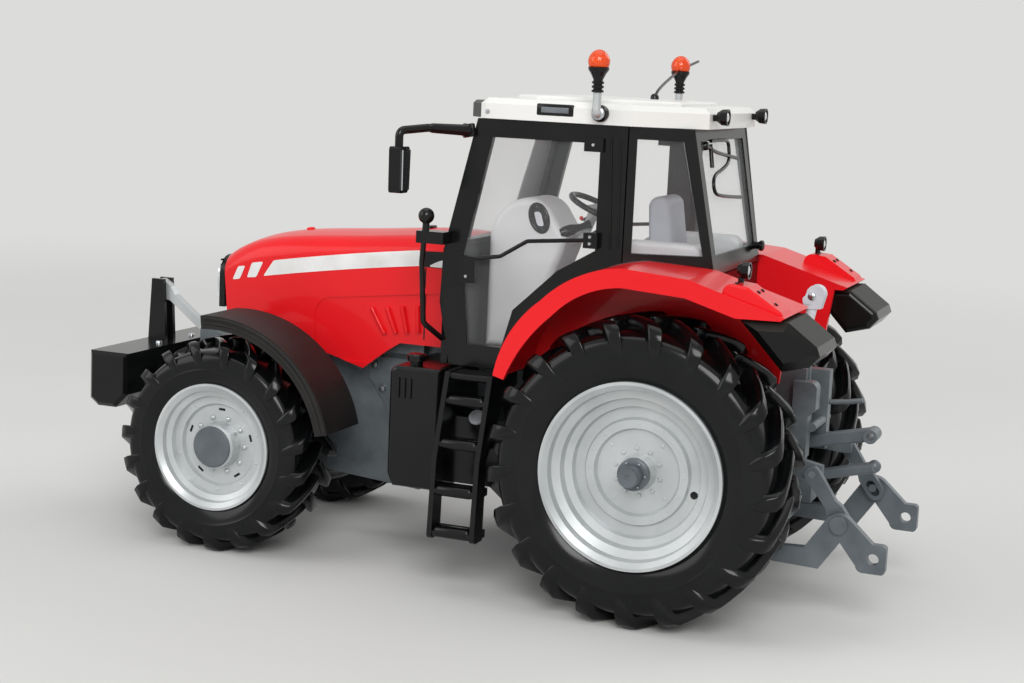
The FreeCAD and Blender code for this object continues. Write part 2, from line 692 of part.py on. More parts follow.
def bonnet_section(x, half, top, inset):
    """Flat sides, round shoulders and a slightly crowned top."""
    wide = half - inset
    high = top - inset
    round_off = SHOULDER - inset / 2
    lean = round_off * (1 - math.sqrt(0.5))
    foot = 30
    low_left, low_right = Vector(x, -wide, foot), Vector(x, wide, foot)
    side_left, side_right = Vector(x, -wide, high - round_off), Vector(x, wide, high - round_off)
    top_left, top_right = Vector(x, -wide + round_off, high), Vector(x, wide - round_off, high)
    edges = [
        Part.makeLine(low_left, low_right),
        Part.makeLine(low_right, side_right),
        Part.Arc(side_right, Vector(x, wide - lean, high - lean), top_right).toShape(),
        Part.Arc(top_right, Vector(x, 0, high + CROWN), top_left).toShape(),
        Part.Arc(top_left, Vector(x, -wide + lean, high - lean), side_left).toShape(),
        Part.makeLine(side_left, low_left),
    ]
    return Part.Wire(edges)


def bonnet_skin(name, inset, first_x, last_x):
    sections = []
    for row, (share, half, top) in enumerate(BONNET):
        place = number(f"bonnetFront - {share} * bonnetLength")
        if row == 0:
            place = place + first_x
        if row == len(BONNET) - 1:
            place = place + last_x
        sections.append(bonnet_section(place, half, top, inset))
    skin = doc.addObject("Part::Feature", name)
    skin.Shape = Part.makeLoft(sections, True, False)
    return skin


bonnet_outer = bonnet_skin("bonnet_outer", 0, 0, 0)
bonnet_inner = bonnet_skin("bonnet_inner", number("bonnetSkin"), 1, -1)
bonnet_side = plate("bonnet_side", "XZ_Plane", [[
    ("bonnetFront - 1.2", 47.8),
    ("bonnetFront + 1", 70),
    ("bonnetRear - 1", 70),
    ("bonnetRear - 1", 44.8),
    ("bonnetRear + 0.235 * bonnetLength", 44.8),
    ("bonnetRear + 0.38 * bonnetLength", 38.7, "bonnetRear + 0.322 * bonnetLength", 41.4),
]], 40)
bonnet_cut = without("bonnet_hollow", bonnet_outer, bonnet_inner)
bonnet_shell = doc.addObject("Part::Common", "bonnet_shell")
bonnet_shell.Base = bonnet_cut
bonnet_shell.Tool = bonnet_side

# Sunk side panel with slanted louvre ridges on it.
PANEL_Y = 12.45
side_panel = plate("side_panel", "XZ_Plane", [[
    ("bonnetRear - 2", 40), ("bonnetRear + 0.585 * bonnetLength", 40), ("bonnetRear + 0.585 * bonnetLength", 47.8),
    ("bonnetRear + 0.51 * bonnetLength", 53.1, "bonnetRear + 0.57 * bonnetLength", 51.6), ("bonnetRear - 2", 56.8),
]], 3, (0, PANEL_Y + 1.5, 0))
panels = fused("side_panels", [side_panel, other_side(side_panel)])
bonnet_parts = [without("bonnet_panelled", bonnet_shell, panels)]
for step in range(int(number("louvreCount"))):
    top_x = f"bonnetRear + 9.5 + 3.5 * {step}"
    foot_x = f"bonnetRear + 9.2 + 2.55 * {step}"
    top_z, foot_z = 53 - 0.45 * step, 47.4 - 0.3 * step
    ridge = plate(f"louvre_{step}", "XZ_Plane", [[
        (f"{top_x} - 0.45", top_z), (f"{top_x} + 0.45", top_z), (f"{foot_x} + 0.45", foot_z),
        (f"{foot_x} - 0.45", foot_z),
    ]], 0.9, (0, PANEL_Y, 0))
    bonnet_parts += [ridge, other_side(ridge)]
node("bonnet", [fused("bonnet_whole", bonnet_parts)])

slots = []
for step in range(5):
    low = 49.6 + 1.5 * step
    slots.append([(-5.4, low), (5.4, low), (5.4, low + 0.8), (-5.4, low + 0.8)])
grille = plate("grille_panel", "YZ_Plane", [[
    (-9.8, 48.2), (9.8, 48.2), (9.8, 55.4), (5.6, 59.4, 8.6, 58.2), (-5.6, 59.4), (-9.8, 55.4, -8.6, 58.2),
]] + slots, 1.3, ("bonnetFront + 0.65 + seatGap", 0, 0))
node("grille", [grille])
headlamp = plate("headlamp_lens", "YZ_Plane", [[
    (6.2, 50.2), (9.2, 50.2), (9.2, 55), (6.2, 57.4, 8.4, 57),
]], 0.8, ("bonnetFront + 1.3 + 2 * seatGap + 0.4", 0, 0))
both_sides("headlamps", headlamp)


# Rear fender's outline from its front edge over the crest, and its underside from the rear.
ARCH_TOP = [
    (28.6, 45.0), (19.6, 60.2, 25.6, 53.4), (4, 67.4, 12.6, 65.2), (-8.5, 66.4), (-26.6, 61.0),
]
ARCH_UNDER = [
    (-25.8, 60.4), (-17.5, 60.2), (-8, 63.0), (4, 63.8), (17.4, 57.4, 11.6, 61.8), (26.4, 44.4, 22.6, 51.6),
]
FENDER_Y = "(fenderOuter + fenderInner) / 2"

# Cab frame: flat frames with their windows cut, joined at the posts.
side_y = "cabWidth / 2 - cabPanel / 2"
DOOR = [
    (41.4, 46.8), (42.8, 66.0), (37.4, 90.4), ("pillarB + 4.2", 90.4), ("pillarB + 4.2", 68.0),
    (21.2, 63.2), (29.6, 55.2), (32.0, 46.8),
]
DOOR_PANE = [
    (40.2, 48.0), (41.6, 66.0), (36.5, 89.2), ("pillarB + 5.4", 89.2), ("pillarB + 5.4", 68.7),
    (21.9, 64.2), (30.8, 55.7), (32.9, 48.0),
]
side_frame = plate("side_frame", "XZ_Plane", [[
    (43.9, "floorLow"), (46.4, 56), (46.0, "beltLine"), (39.8, "headerLine"), ("pillarB", "headerLine"),
    ("pillarB", "beltLine - 1.4"), ("pillarB + 4", "beltLine - 1.4"), (20.2, 60.6), (27.6, 53.4),
    (30.0, "floorLow"),
], DOOR], "cabPanel", (0, side_y, 0))
slant = math.degrees(math.atan2(number("cabWidth / 2 - rearPostY"), number("pillarB - rearPost")))
reach = math.hypot(number("cabWidth / 2 - rearPostY"), number("pillarB - rearPost"))
stretch = reach / number("pillarB - rearPost")
top_reach = stretch * number("pillarB - rearPostTop")
QUARTER_PANE = [
    (-1.6, "beltLine + 2.2"), (-1.6, 90.4), (-top_reach + 2.0, 90.4), (-reach + 2.4, "beltLine + 2.2"),
]
quarter_frame = plate("quarter_frame", "XZ_Plane", [[
    (0, "beltLine - 1.4"), (0, "headerLine"), (-top_reach, "headerLine"), (-reach, "beltLine - 1.4"),
], QUARTER_PANE], "cabPanel", ("pillarB", side_y, 0), Vector(0, 0, 1), slant)
rear_lean = math.degrees(math.atan2(number("rearPostTop - rearPost"), number("headerLine - beltLine")))
rear_rise = math.hypot(number("rearPostTop - rearPost"), number("headerLine - beltLine"))
rear_top = rear_rise - number("cabPanel / 2") * math.tan(math.radians(rear_lean))
REAR_PANE = [(-15.4, 2.2), (15.4, 2.2), (16.2, rear_rise - 2.4), (-16.2, rear_rise - 2.4)]
rear_frame = plate("rear_frame", "YZ_Plane", [[
    ("-rearPostY", -1.4), ("rearPostY", -1.4), ("rearPostY + 1.6", rear_top), ("-rearPostY - 1.6", rear_top),
], REAR_PANE], "cabPanel", ("rearPost + cabPanel / 2", 0, "beltLine"), Vector(0, 1, 0), rear_lean)
front_rise = number("headerLine - beltLine")
front_lean = math.degrees(math.atan2(6.2, front_rise))
front_height = math.hypot(6.2, front_rise)
front_top = front_height - number("cabPanel / 2") * math.tan(math.radians(front_lean))
SCREEN_PANE = [(-21.6, 1.6), (21.6, 1.6), (21.6, front_height - 2.4), (-21.6, front_height - 2.4)]
screen_frame = plate("screen_frame", "YZ_Plane", [[
    (-23.6, -0.4), (23.6, -0.4), (23.6, front_top), (-23.6, front_top),
], SCREEN_PANE], "cabPanel", ("45.3", 0, "beltLine"), Vector(0, -1, 0), front_lean)
CORNER_PANE = [(14.2, 47.6), (21.6, 47.6), (21.6, 64.6), (14.2, 64.6)]
RIGHT_CORNER = [(-14.2, 47.6), (-21.6, 47.6), (-21.6, 64.6), (-14.2, 64.6)]
front_panel = plate("front_panel", "YZ_Plane", [[
    (-23.6, "floorLow"), (23.6, "floorLow"), (23.6, "beltLine"), (-23.6, "beltLine"),
], CORNER_PANE, RIGHT_CORNER], "cabPanel", (45.2, 0, 0))
cab_parts = [side_frame, quarter_frame, other_side(side_frame), other_side(quarter_frame),
             rear_frame, screen_frame, front_panel]
arch_space = plate("arch_space", "XZ_Plane", [ARCH_TOP + [(-26.6, 30), (28.6, 30)]],
                   "fenderOuter - fenderInner + 2 * seatGap", (0, FENDER_Y, "seatGap"))
arch_spaces = fused("arch_spaces", [arch_space, other_side(arch_space)])
node("cab_frame", [without("cab_over_arches", fused("cab_whole", cab_parts), arch_spaces)])

# Panes seated in their frames.
quarter_glass = plate("quarter_glass", "XZ_Plane", [QUARTER_PANE], "glassThickness",
                      ("pillarB", side_y, 0), Vector(0, 0, 1), slant)
rear_glass = plate("rear_glass", "YZ_Plane", [REAR_PANE], "glassThickness",
                   ("rearPost + cabPanel / 2", 0, "beltLine"), Vector(0, 1, 0), rear_lean)
screen_glass = plate("screen_glass", "YZ_Plane", [SCREEN_PANE], "glassThickness",
                     ("45.3", 0, "beltLine"), Vector(0, -1, 0), front_lean)
corner_glass = plate("corner_glass", "YZ_Plane", [CORNER_PANE], "glassThickness", (45.2, 0, 0))
node("cab_windows", [quarter_glass, other_side(quarter_glass), rear_glass, screen_glass,
                     corner_glass, other_side(corner_glass)])
door_frame = plate("door_frame", "XZ_Plane", [DOOR, DOOR_PANE], "cabPanel", (0, side_y, 0))
latch = block("door_latch", (38.6, "cabWidth / 2 - 0.1", 60.4), (42.0, "cabWidth / 2 + 1.3", 65.7))
upper_hinge = block("upper_hinge", (13.6, "cabWidth / 2 - 0.1", 87.6), (17.4, "cabWidth / 2 + 0.8", 90.2))
lower_hinge = block("lower_hinge", (13.6, "cabWidth / 2 - 0.1", 69.2), (16.4, "cabWidth / 2 + 1.5", 72.2))
pull_rail = tube("pull_rail", [
    (40.4, number("cabWidth / 2 + 0.8"), 65.0), (33.4, number("cabWidth / 2 + 1.2"), 66.2),
    (27.9, number("cabWidth / 2 + 1.2"), 69.6), (14.8, number("cabWidth / 2 + 0.9"), 70.8)], 0.4, 1.5)
both_sides("doors", fused("door_whole", [door_frame, latch, upper_hinge, lower_hinge, pull_rail]))
door_glass = plate("door_glass_pane", "XZ_Plane", [DOOR_PANE], "glassThickness", (0, side_y, 0))
both_sides("door_glass", door_glass)

floor = plate("floor_plate", "XY_Plane", [[
    (44.3, -22.4), (44.3, 22.4), ("pillarB", 22.4), ("rearPost + 2", 16.8), ("rearPost + 2", -16.8),
    ("pillarB", -22.4),
]], "floorTop - floorLow", (0, 0, "(floorTop + floorLow) / 2"))
rear_wall = block("rear_wall", ("rearPost", "-rearPostY", "floorLow"),
                  ("rearPost + 2.2", "rearPostY", "beltLine - 1.6"))
floor_blank = fused("floor_blank", [floor, rear_wall])
node("cab_floor", [without("floor_whole", floor_blank, arch_spaces)])

# Roof: a plan outline with bevelled rear corners, a slope round its top, side recesses, a raised middle.
visor_x = "42.4 - visorDepth"
roof_plate = plate("roof_plate", "XY_Plane", [[
    (visor_x, -24), (visor_x, 24), (38, 24.6), ("pillarB - 1", 24.6), ("rearPostTop - 2.4", 17.8),
    ("rearPostTop - 2.4", -17.8), ("pillarB - 1", -24.6), (38, -24.6),
]], "roofTop - headerLine - seatGap", (0, 0, "(roofTop + headerLine + seatGap) / 2"))
softened(roof_plate, UP, "roofBevel", "Chamfer")
roof_panel = plate("roof_panel", "XY_Plane", [[
    (35, -15), (35, 15), (30, 18), (10, 18), (2, 13), (2, -13), (10, -18), (30, -18),
]], 1.6, (0, 0, "roofTop"))
softened(roof_panel, UP, 0.4, "Chamfer")
RECESS = [(20.2, 94.1), (20.2, 96.0), (27.2, 96.0), (27.2, 94.1)]
recess = plate("roof_recess", "XZ_Plane", [RECESS], 1.6, (0, 24.6, 0))
roof_blank = fused("roof_blank", [roof_plate, roof_panel])
node("roof", [without("roof_whole", roof_blank, fused("roof_recesses", [recess, other_side(recess)]))])

# Inside the cab.
console = plate("console", "XZ_Plane", [[
    (43.6, "floorTop"), (43.6, 67), (35.4, 76.6, 41.2, 73.6), (29.9, 73.6, 32.4, 76.0), (26.6, 68.6), (27.6, 65.4),
    (33.4, 50), (34, "floorTop"),
]], 13)
softened(softened(console, LEFT, 1.6), RIGHT, 1.6)
WHEEL_PLACE = (22.6, 0, 75.2)
WHEEL_LEAN = 24
column_end = (WHEEL_PLACE[0] + 0.5 * math.sin(math.radians(WHEEL_LEAN)), 0,
              WHEEL_PLACE[2] - 0.5 * math.cos(math.radians(WHEEL_LEAN)))
column = tube("column", [(29.5, 0, 67), (25.2, 0, 68.9), column_end], 1.1, 1.5)
node("dash_console", [fused("console_whole", [console, column])])
rim_ring = doc.addObject("Part::Torus", "steering_rim")
rim_ring.Radius1 = 5.6
rim_ring.Radius2 = 0.6
settle(rim_ring, WHEEL_PLACE, RIGHT, WHEEL_LEAN)
spoke = plate("steering_spokes", "XY_Plane", [[(-0.8, -5.6), (0.8, -5.6), (0.8, 5.6), (-0.8, 5.6)]],
              0.6, WHEEL_PLACE, RIGHT, WHEEL_LEAN)
node("steering_wheel", [fused("steering_whole", [rim_ring, spoke])])
seat_foot = block("seat_foot", (9, -3.4, "floorTop"), (16.6, 3.4, 57))
cushion = plate("seat_cushion", "XZ_Plane", [[
    (6.4, 56), (19.4, 56.4), (19.2, 61.2, 20.6, 58.8), (8, 60.2),
]], 12.4)
softened(softened(cushion, LEFT, 1.1), RIGHT, 1.1)
back_rest = plate("seat_back", "XZ_Plane", [[
    (4.4, 58.4), (8.8, 58.8), (9.9, 76.4), (5.6, 77.4, 8.2, 78.6), (3.6, 64),
]], 11.6)
softened(softened(back_rest, LEFT, 1.1), RIGHT, 1.1)
node("seat", [fused("seat_whole", [seat_foot, cushion, back_rest])])
trim = plate("inner_arch", "XZ_Plane", [[
    (22, "floorTop"), (20, 58), (10, 70.4, 16.4, 67.6), (-2.4, 70.4), (-4.8, 68.0, -4.2, 69.8), (-4.8, "floorTop"),
]], 5.4, (0, 13.6, 0))
softened(softened(trim, LEFT, 0.9), RIGHT, 0.9)
both_sides("cab_consoles", trim)

# Exhaust leaning back along the right front post, with its heat shield.
STACK = [(48.4, "-exhaustY", 47.6), (48.4, "-exhaustY", 71), (43.4, "-exhaustY", 88.9)]
stack = tube("stack", STACK, 1.7, 3)
shield_blank = tube("shield_blank", [(47.8, "-exhaustY", 73), (43.7, "-exhaustY", 87.8)], "shieldRadius", 1)
shield_slots = plate("shield_slots", "XZ_Plane", [[
    (x - 0.9, z - 0.4, x - 1.3, z), (x + 0.9, z - 0.4), (x + 0.9, z + 0.4, x + 1.3, z), (x - 0.9, z + 0.4),
] for x, z in ((47.0, 76.0), (45.8, 80.2), (44.6, 84.4))], "2 * shieldRadius + 1", (0, "-exhaustY", 0))
shield = without("shield", shield_blank, shield_slots)
bracket = block("exhaust_bracket", (46.6, "-exhaustY", 62), (49, "-cabWidth / 2 + 0.2", 65))
node("exhaust", [fused("exhaust_whole", [stack, shield, bracket])])

# Mirrors on their arms, the left hand rail with its round lamp.
arm = tube("mirror_arm", [(41.2, 24.1, 90.2), (46, 34, 90.6), (49.4, 39.4, 90), (49.4, 39.4, 87)], 0.8, 1.2)
mirror_case = plate("mirror_case", "YZ_Plane", [[
    (38.0, 78.2, 37.4, 78.4), (40.4, 78.2), (41.0, 78.9, 40.8, 78.4), (41.2, 86.2), (40.4, 87.0, 41.0, 86.8),
    (37.8, 87.0), (37.0, 86.2, 37.2, 86.8), (37.2, 78.9),
]], 2.4, (49.4, 0, 0))
both_sides("mirrors", fused("mirror_whole", [arm, mirror_case]))
mirror_glass = plate("mirror_pane", "YZ_Plane", [[
    (37.6, 78.8), (40.6, 78.8), (40.8, 86.4), (37.4, 86.4),
]], 0.4, ("49.4 - 1.2 - 0.2", 0, 0))
both_sides("mirror_glass", mirror_glass)
rail = tube("rail", [(48.6, 27.6, 71), (49.0, 27.6, 64), (48.2, 27.6, 52), (45.4, 24.1, 48.6)], 0.55, 1.5)
lamp_ball = doc.addObject("Part::Sphere", "lamp_ball")
lamp_ball.Radius = 1.6
settle(lamp_ball, (48.4, 27.6, 73.2))
lamp_stay = block("lamp_stay", (44.4, 24.2, 67.8), (50.2, 28.2, 70.2))
lamp_neck = pin_z("lamp_neck", 48.4, 27.6, 0.7, 70, 72.4)
node("hand_rail", [fused("rail_whole", [rail, lamp_ball, lamp_stay, lamp_neck])])

# Beacons and work lamps.
stem = tube("beacon_stem", [(14.4, 24.65, 94.6), (14.4, 27.4, 94.6), (14.4, 27.4, 99.4)], 0.9, 1.2)
NECK_RIBS = [(radius, 98.8 + 0.7 * step + drop) for step in range(4)
             for radius, drop in ((1.5, 0), (1.5, 0.35), (1.15, 0.35), (1.15, 0.7))]
socket = upright("beacon_socket", [(0, 98.6), (1.15, 98.6), (1.15, 98.8)] + NECK_RIBS[:-1] + [
    (2, 101.8), (2, 103.2), (0, 103.2),
], (14.4, 27.4, 0))
foot_boss = turned("beacon_boss", [(24.65, 0), (24.65, 1.5), (25.6, 1.5), (26.2, 1.1), (26.2, 0)], (14.4, 0, 94.9))
both_sides("beacon_stems", fused("beacon_stand", [stem, socket, foot_boss]))
DOME_RADIUS = 1.9
dome = upright("beacon_dome", [
    (0, 103.2), (DOME_RADIUS, 103.2), (DOME_RADIUS, 105),
    (0, 105 + DOME_RADIUS, DOME_RADIUS * math.sqrt(0.5), 105 + DOME_RADIUS * math.sqrt(0.5)),
], (14.4, 27.4, 0))
both_sides("beacon_lenses", dome)
# Round lamps that face the rear; a lamp's profile: depth behind its front plate, radius.
LAMP = [(0, 0), (0, 0.9), (0.9, 1.5), (2.2, 1.6), (2.2, 1.25), (1.9, 1.2), (1.9, 0)]


def lamp(name, at):
    return turned(name, LAMP, at, axis=UP, angle=90)


roof_lamp = fused("roof_lamp_whole", [
    lamp("roof_lamp", ("rearPostTop - 3.2", 15.2, 95.2)),
    block("roof_lamp_foot", ("rearPostTop - 3.6", 14.6, 94.4), ("rearPostTop - 2.4 - seatGap", 15.8, 95.6)),
])
fender_lamp = fused("fender_lamp_whole", [
    lamp("fender_lamp", (-16.2, 33.2, 68.4)), pin_z("fender_lamp_foot", -16.9, 33.2, 0.55, 66.2, 68),
])
visor = plate("roof_visor", "XY_Plane", [[
    (visor_x + " + seatGap", -23.8), (visor_x + " + seatGap", 23.8), (42.4, 20.4), (43.2, 0),
    (42.4, -20.4),
]], "roofTop - headerLine - 0.8", (0, 0, "(roofTop + headerLine) / 2 - 0.2"))
softened(visor, UP, 0.6, "Chamfer")
node("work_lamps", [roof_lamp, other_side(roof_lamp), fender_lamp, other_side(fender_lamp), visor])

# Rear fenders: an arch between its side outlines, open below, with its inner wall.
fender_blank = plate("fender_blank", "XZ_Plane", [ARCH_TOP + ARCH_UNDER], "fenderOuter - fenderInner",
                     (0, FENDER_Y, 0))
fender_void = plate("fender_void", "XZ_Plane", [[
    (27.4, 40), (27.4, 44.8), (18.9, 59.2, 24.7, 53.0), (4, 66.2, 12, 64.0), (-8.2, 65.2), (-26.2, 59.8), (-34, 40),
]], "fenderOuter - fenderInner - 2 * fenderWall", (0, FENDER_Y, 0))
pod = plate("fender_pod", "XZ_Plane", [[
    (-14.6, 64.4), (-16.2, 66.2, -15.2, 65.8), (-19.2, 65.9), (-25.6, 61.9), (-26.2, 60.9), (-14.6, 62.8),
]], 7.2, (0, 34.2, 0))
softened(pod, LEFT, 0.4, "Chamfer")
fender_shell = without("fender_shell", fender_blank, fender_void)
inner_wall = plate("fender_inner_wall", "XZ_Plane", [[
    (28.4, 45.0), (19.6, 60.0, 25.4, 53.4), (4, 67.2, 12.6, 65.0), (-8.5, 66.2), (-24, 61.4), (-22, 46), (-14, 44),
    (22, 44),
]], "fenderWall", (0, "fenderInner + fenderWall / 2", 0))
both_sides("rear_fenders", fused("fender_whole", [fender_shell, inner_wall, pod]))
flap = plate("flap_blank", "XZ_Plane", [[
    (-18.2, 59.8), (-26.9, 60.2), (-32.4, 56.2), (-33.0, 54.6), (-31.2, 52.5), (-26.3, 51.2),
]], "fenderOuter - fenderInner - 2.2", (0, "(fenderOuter + fenderInner) / 2 + 1.1", 0))
softened(flap, LEFT, 1.6, "Chamfer")
softened(flap, RIGHT, 1.2)
both_sides("fender_extensions", flap)

# Tank and steps on each side, between the wheels.
tank = plate("tank_side", "XZ_Plane", [[
    ("tankRear", 18.4), ("tankFront - 1.2", 18.4), ("tankFront", 21), ("tankFront", "tankTop - 1.6"),
    ("tankFront - 1.6", "tankTop", "tankFront - 0.5", "tankTop - 0.5"), ("tankRear", "tankTop"),
]], "tankOuter - tankInner", (0, "(tankInner + tankOuter) / 2", 0))
softened(tank, LEFT, 1)
box_rear = block("battery_box", ("stepFront - stepLength", "tankInner", 19.6), ("tankRear + 0.1", 23.6, 33.2))
box_neck = pin_z("box_neck", "stepFront - stepLength / 2", 21.6, 1.3, 33, 35)
filler = upright("tank_filler", [
    (0, "tankTop - 0.5"), (1.3, "tankTop - 0.5"), (1.3, "tankTop + 0.6"), (1.9, "tankTop + 0.8"),
    (1.9, "tankTop + 1.9"), (1.5, "tankTop + 2.2"), (0, "tankTop + 2.2"),
], ("(tankRear + tankFront) / 2 + 1.3", 25, 0))
tank_ribs = [block(f"tank_rib_{row}", (f"tankFront - 2.4 - 1.3 * {row}", "tankOuter - 0.2", "tankTop - 6.4"),
                   (f"tankFront - 1.9 - 1.3 * {row}", "tankOuter + 0.4", "tankTop - 2.4")) for row in range(3)]
both_sides("side_tanks", fused("tank_whole", [tank, box_rear, box_neck, filler] + tank_ribs))
# Treads from the top: height of the upper face, outer edge from the middle.
STEP_TABLE = [(43.3, 31.2), (38.6, 32.8), (30.4, 35.4), (21.4, 36.8), (13.1, 37.2)]
STEP_X = ("(stepFront - stepLength / 2)", 0, 0)
treads = []
for row, (z, y) in enumerate(STEP_TABLE):
    treads.append(plate(f"tread_{row}", "YZ_Plane", [[
        (y - 5.4, z), (y - 5.4, f"{z} - treadThickness"), (y - 0.9, f"{z} - treadThickness"),
        (y - 0.6, z, y + 0.1, f"{z} - treadThickness / 2"),
    ]], "stepLength", STEP_X))
rails = []
for x in ("stepFront - stepLength + 0.5", "stepFront - 0.5"):
    rails.append(plate(f"step_rail_{len(rails)}", "YZ_Plane", [[
        (18, "floorLow - seatGap"), (31.4, "floorLow - seatGap"), (36.4, 27), (37.5, 12.4),
        (36.4, 11.2, 37.2, 11.5), (33.2, 11.2), (32.6, 27), (24.6, 38), (18, 40),
    ]], 1, (x, 0, 0)))
both_sides("steps", fused("step_whole", treads + rails))

# Rear hitch: castings on the gearbox, two draw bars and the stowed top link.
hitch_blocks = [
    block("hitch_base", (-23.2, -6.4, 20), (-18.6, 6.4, 40)),
    block("hitch_tower", (-26.4, 1, 39), (-18.6, 6, 43)),
    block("stay_cheek_left", (-24.4, 4.7, 42), (-18.8, 6, "stayPivotZ + 1.6")),
    block("stay_cheek_right", (-24.4, 1, 42), (-18.8, 2.3, "stayPivotZ + 1.6")),
    pin_y("stay_pin", "stayPivotX", "stayPivotZ", "smallPinRadius", 1, 6),
    plate("hitch_left", "XZ_Plane", [[
        (-22.6, 30), (-22.6, 45), (-25.6, 45), (-27.2, 43.4, -26.8, 44.6), (-27.2, 39.6), (-25.8, 38.2), (-25.8, 30),
    ]], 3.6, (0, 6.8, 0)),
    tube("hitch_lever", [(-27, -4.2, 39.4), (-31, -4.2, 39.8), (-34, -4.2, 40.4)], 0.5, 1),
    pin_y("hitch_knob", -26.4, 36, 0.9, -7, 7.2),
    block("hitch_right", (-27.4, -5.6, 30), (-22.6, -2.6, 46)),
    block("hitch_foot", (-26.4, -3, 20), (-22.6, 3, 26.4)),
]
shaft_bore = pin_y("shaft_bore", "armPivotX", "armPivotZ", "liftShaftRadius + runningFit", -10, 10)
node("hitch_frame", [without("hitch_bored", fused("hitch_whole", hitch_blocks), shaft_bore)])
upper_bar = plate("upper_bar", "XZ_Plane", [[
    (-23.3, 30.2), (-23.3, 32.8), (-36.4, 35.8), (-37.0, 33.2),
]], 2.4, (0, -0.6, 0))
upper_boss = pin_y("upper_boss", -37, 34.4, 1.4, -3.2, 2)
lower_bar = plate("lower_bar", "XZ_Plane", [[
    (-26.5, 24.2), (-26.5, 26.2), (-38, 29.2), (-38.6, 27.2),
]], 3)
softened(softened(lower_bar, LEFT, 0.6), RIGHT, 0.6)
softened(softened(upper_bar, LEFT, 0.5), RIGHT, 0.5)
lower_pin = doc.addObject("Part::Sphere", "lower_ball")
lower_pin.Radius = 1.3
settle(lower_pin, (-38, 0, 28.3))
upper_eye = without("upper_eye", fused("upper_whole", [upper_bar, upper_boss]),
                    pin_y("upper_bore", -37, 34.4, "drawBore", -4, 3))
node("draw_bars", [upper_eye, fused("lower_whole", [lower_bar, lower_pin])])

stay_rod = tube("stay_rod", [("stayPivotX - 0.2", 3.5, "stayPivotZ + 1.2"),
                             ("stayPivotX - 3", 3.5, "stayPivotZ + 16")], 1, 1)
stay_eye = plate("stay_eye", "XZ_Plane", [[
    ("stayPivotX + 1.5", "stayPivotZ - 0.8", "stayPivotX", "stayPivotZ - 1.7"),
    ("stayPivotX + 1.2", "stayPivotZ + 2.6"), ("stayPivotX - 1.8", "stayPivotZ + 2.2"),
    ("stayPivotX - 1.5", "stayPivotZ - 0.8"),
], ("circle", "stayPivotX", "stayPivotZ", "smallPinRadius + runningFit")], "eyeThickness", (0, 3.5, 0))
stay_head = plate("stay_head", "XZ_Plane", [[
    ("stayPivotX - 4.4", "stayPivotZ + 13.4"), ("stayPivotX - 4.9", "stayPivotZ + 15.4"),
    ("stayPivotX - 1.4", "stayPivotZ + 16.4", "stayPivotX - 3.4", "stayPivotZ + 18"),
    ("stayPivotX - 0.8", "stayPivotZ + 14.4"), ("stayPivotX - 1.4", "stayPivotZ + 13.2"),
]], 2.4, (0, 3.5, 0))
stay_pin_head = pin_y("stay_head_pin", "stayPivotX - 1.7", "stayPivotZ + 15", 0.9, 2, 5)
node("rear_top_link", [fused("stay_whole", [stay_rod, stay_eye, stay_head, stay_pin_head])])

# Lower links carry the pins of the lift rods, the lift arms on their shaft the upper ones.
ROD_Y = "(linkY - linkThickness / 2 - rodThickness / 2 - 0.2)"
ARM_Y = "(linkY - linkThickness / 2 - 1.5 * rodThickness - 0.4)"


def pins_between(name, side, x, z, y_near, y_far, radius="smallPinRadius"):
    """A linkage pin on one side; the two distances from the middle plane grow."""
    low, high = (y_near, y_far) if side > 0 else (f"-({y_far})", f"-({y_near})")
    return pin_y(name, x, z, radius, low, high)


rod_reach = math.hypot(number("rodTopX - rodFootX"), number("rodTopZ - rodFootZ"))
rod_turn = math.degrees(math.atan2(number("rodTopX - rodFootX"), number("rodTopZ - rodFootZ")))
slot_low = -rod_reach - number("floatDown")
slot_high = -rod_reach + number("floatUp")
slot_half = number("smallPinRadius + runningFit")
# Lift rod hanging from its upper pin, with a long slot for the foot pin's float.
ROD = [
    (1.5, 0, 0, 1.5), (1.2, 4 - rod_reach), (1.7, 2.5 - rod_reach), (1.7, slot_low),
    (-1.7, slot_low, 0, slot_low - 1.7), (-1.7, 2.5 - rod_reach), (-1.2, 4 - rod_reach), (-1.5, 0),
]
ROD_SLOT = [
    (slot_half, slot_low, 0, slot_low - slot_half), (slot_half, slot_high),
    (-slot_half, slot_high, 0, slot_high + slot_half), (-slot_half, slot_low),
]

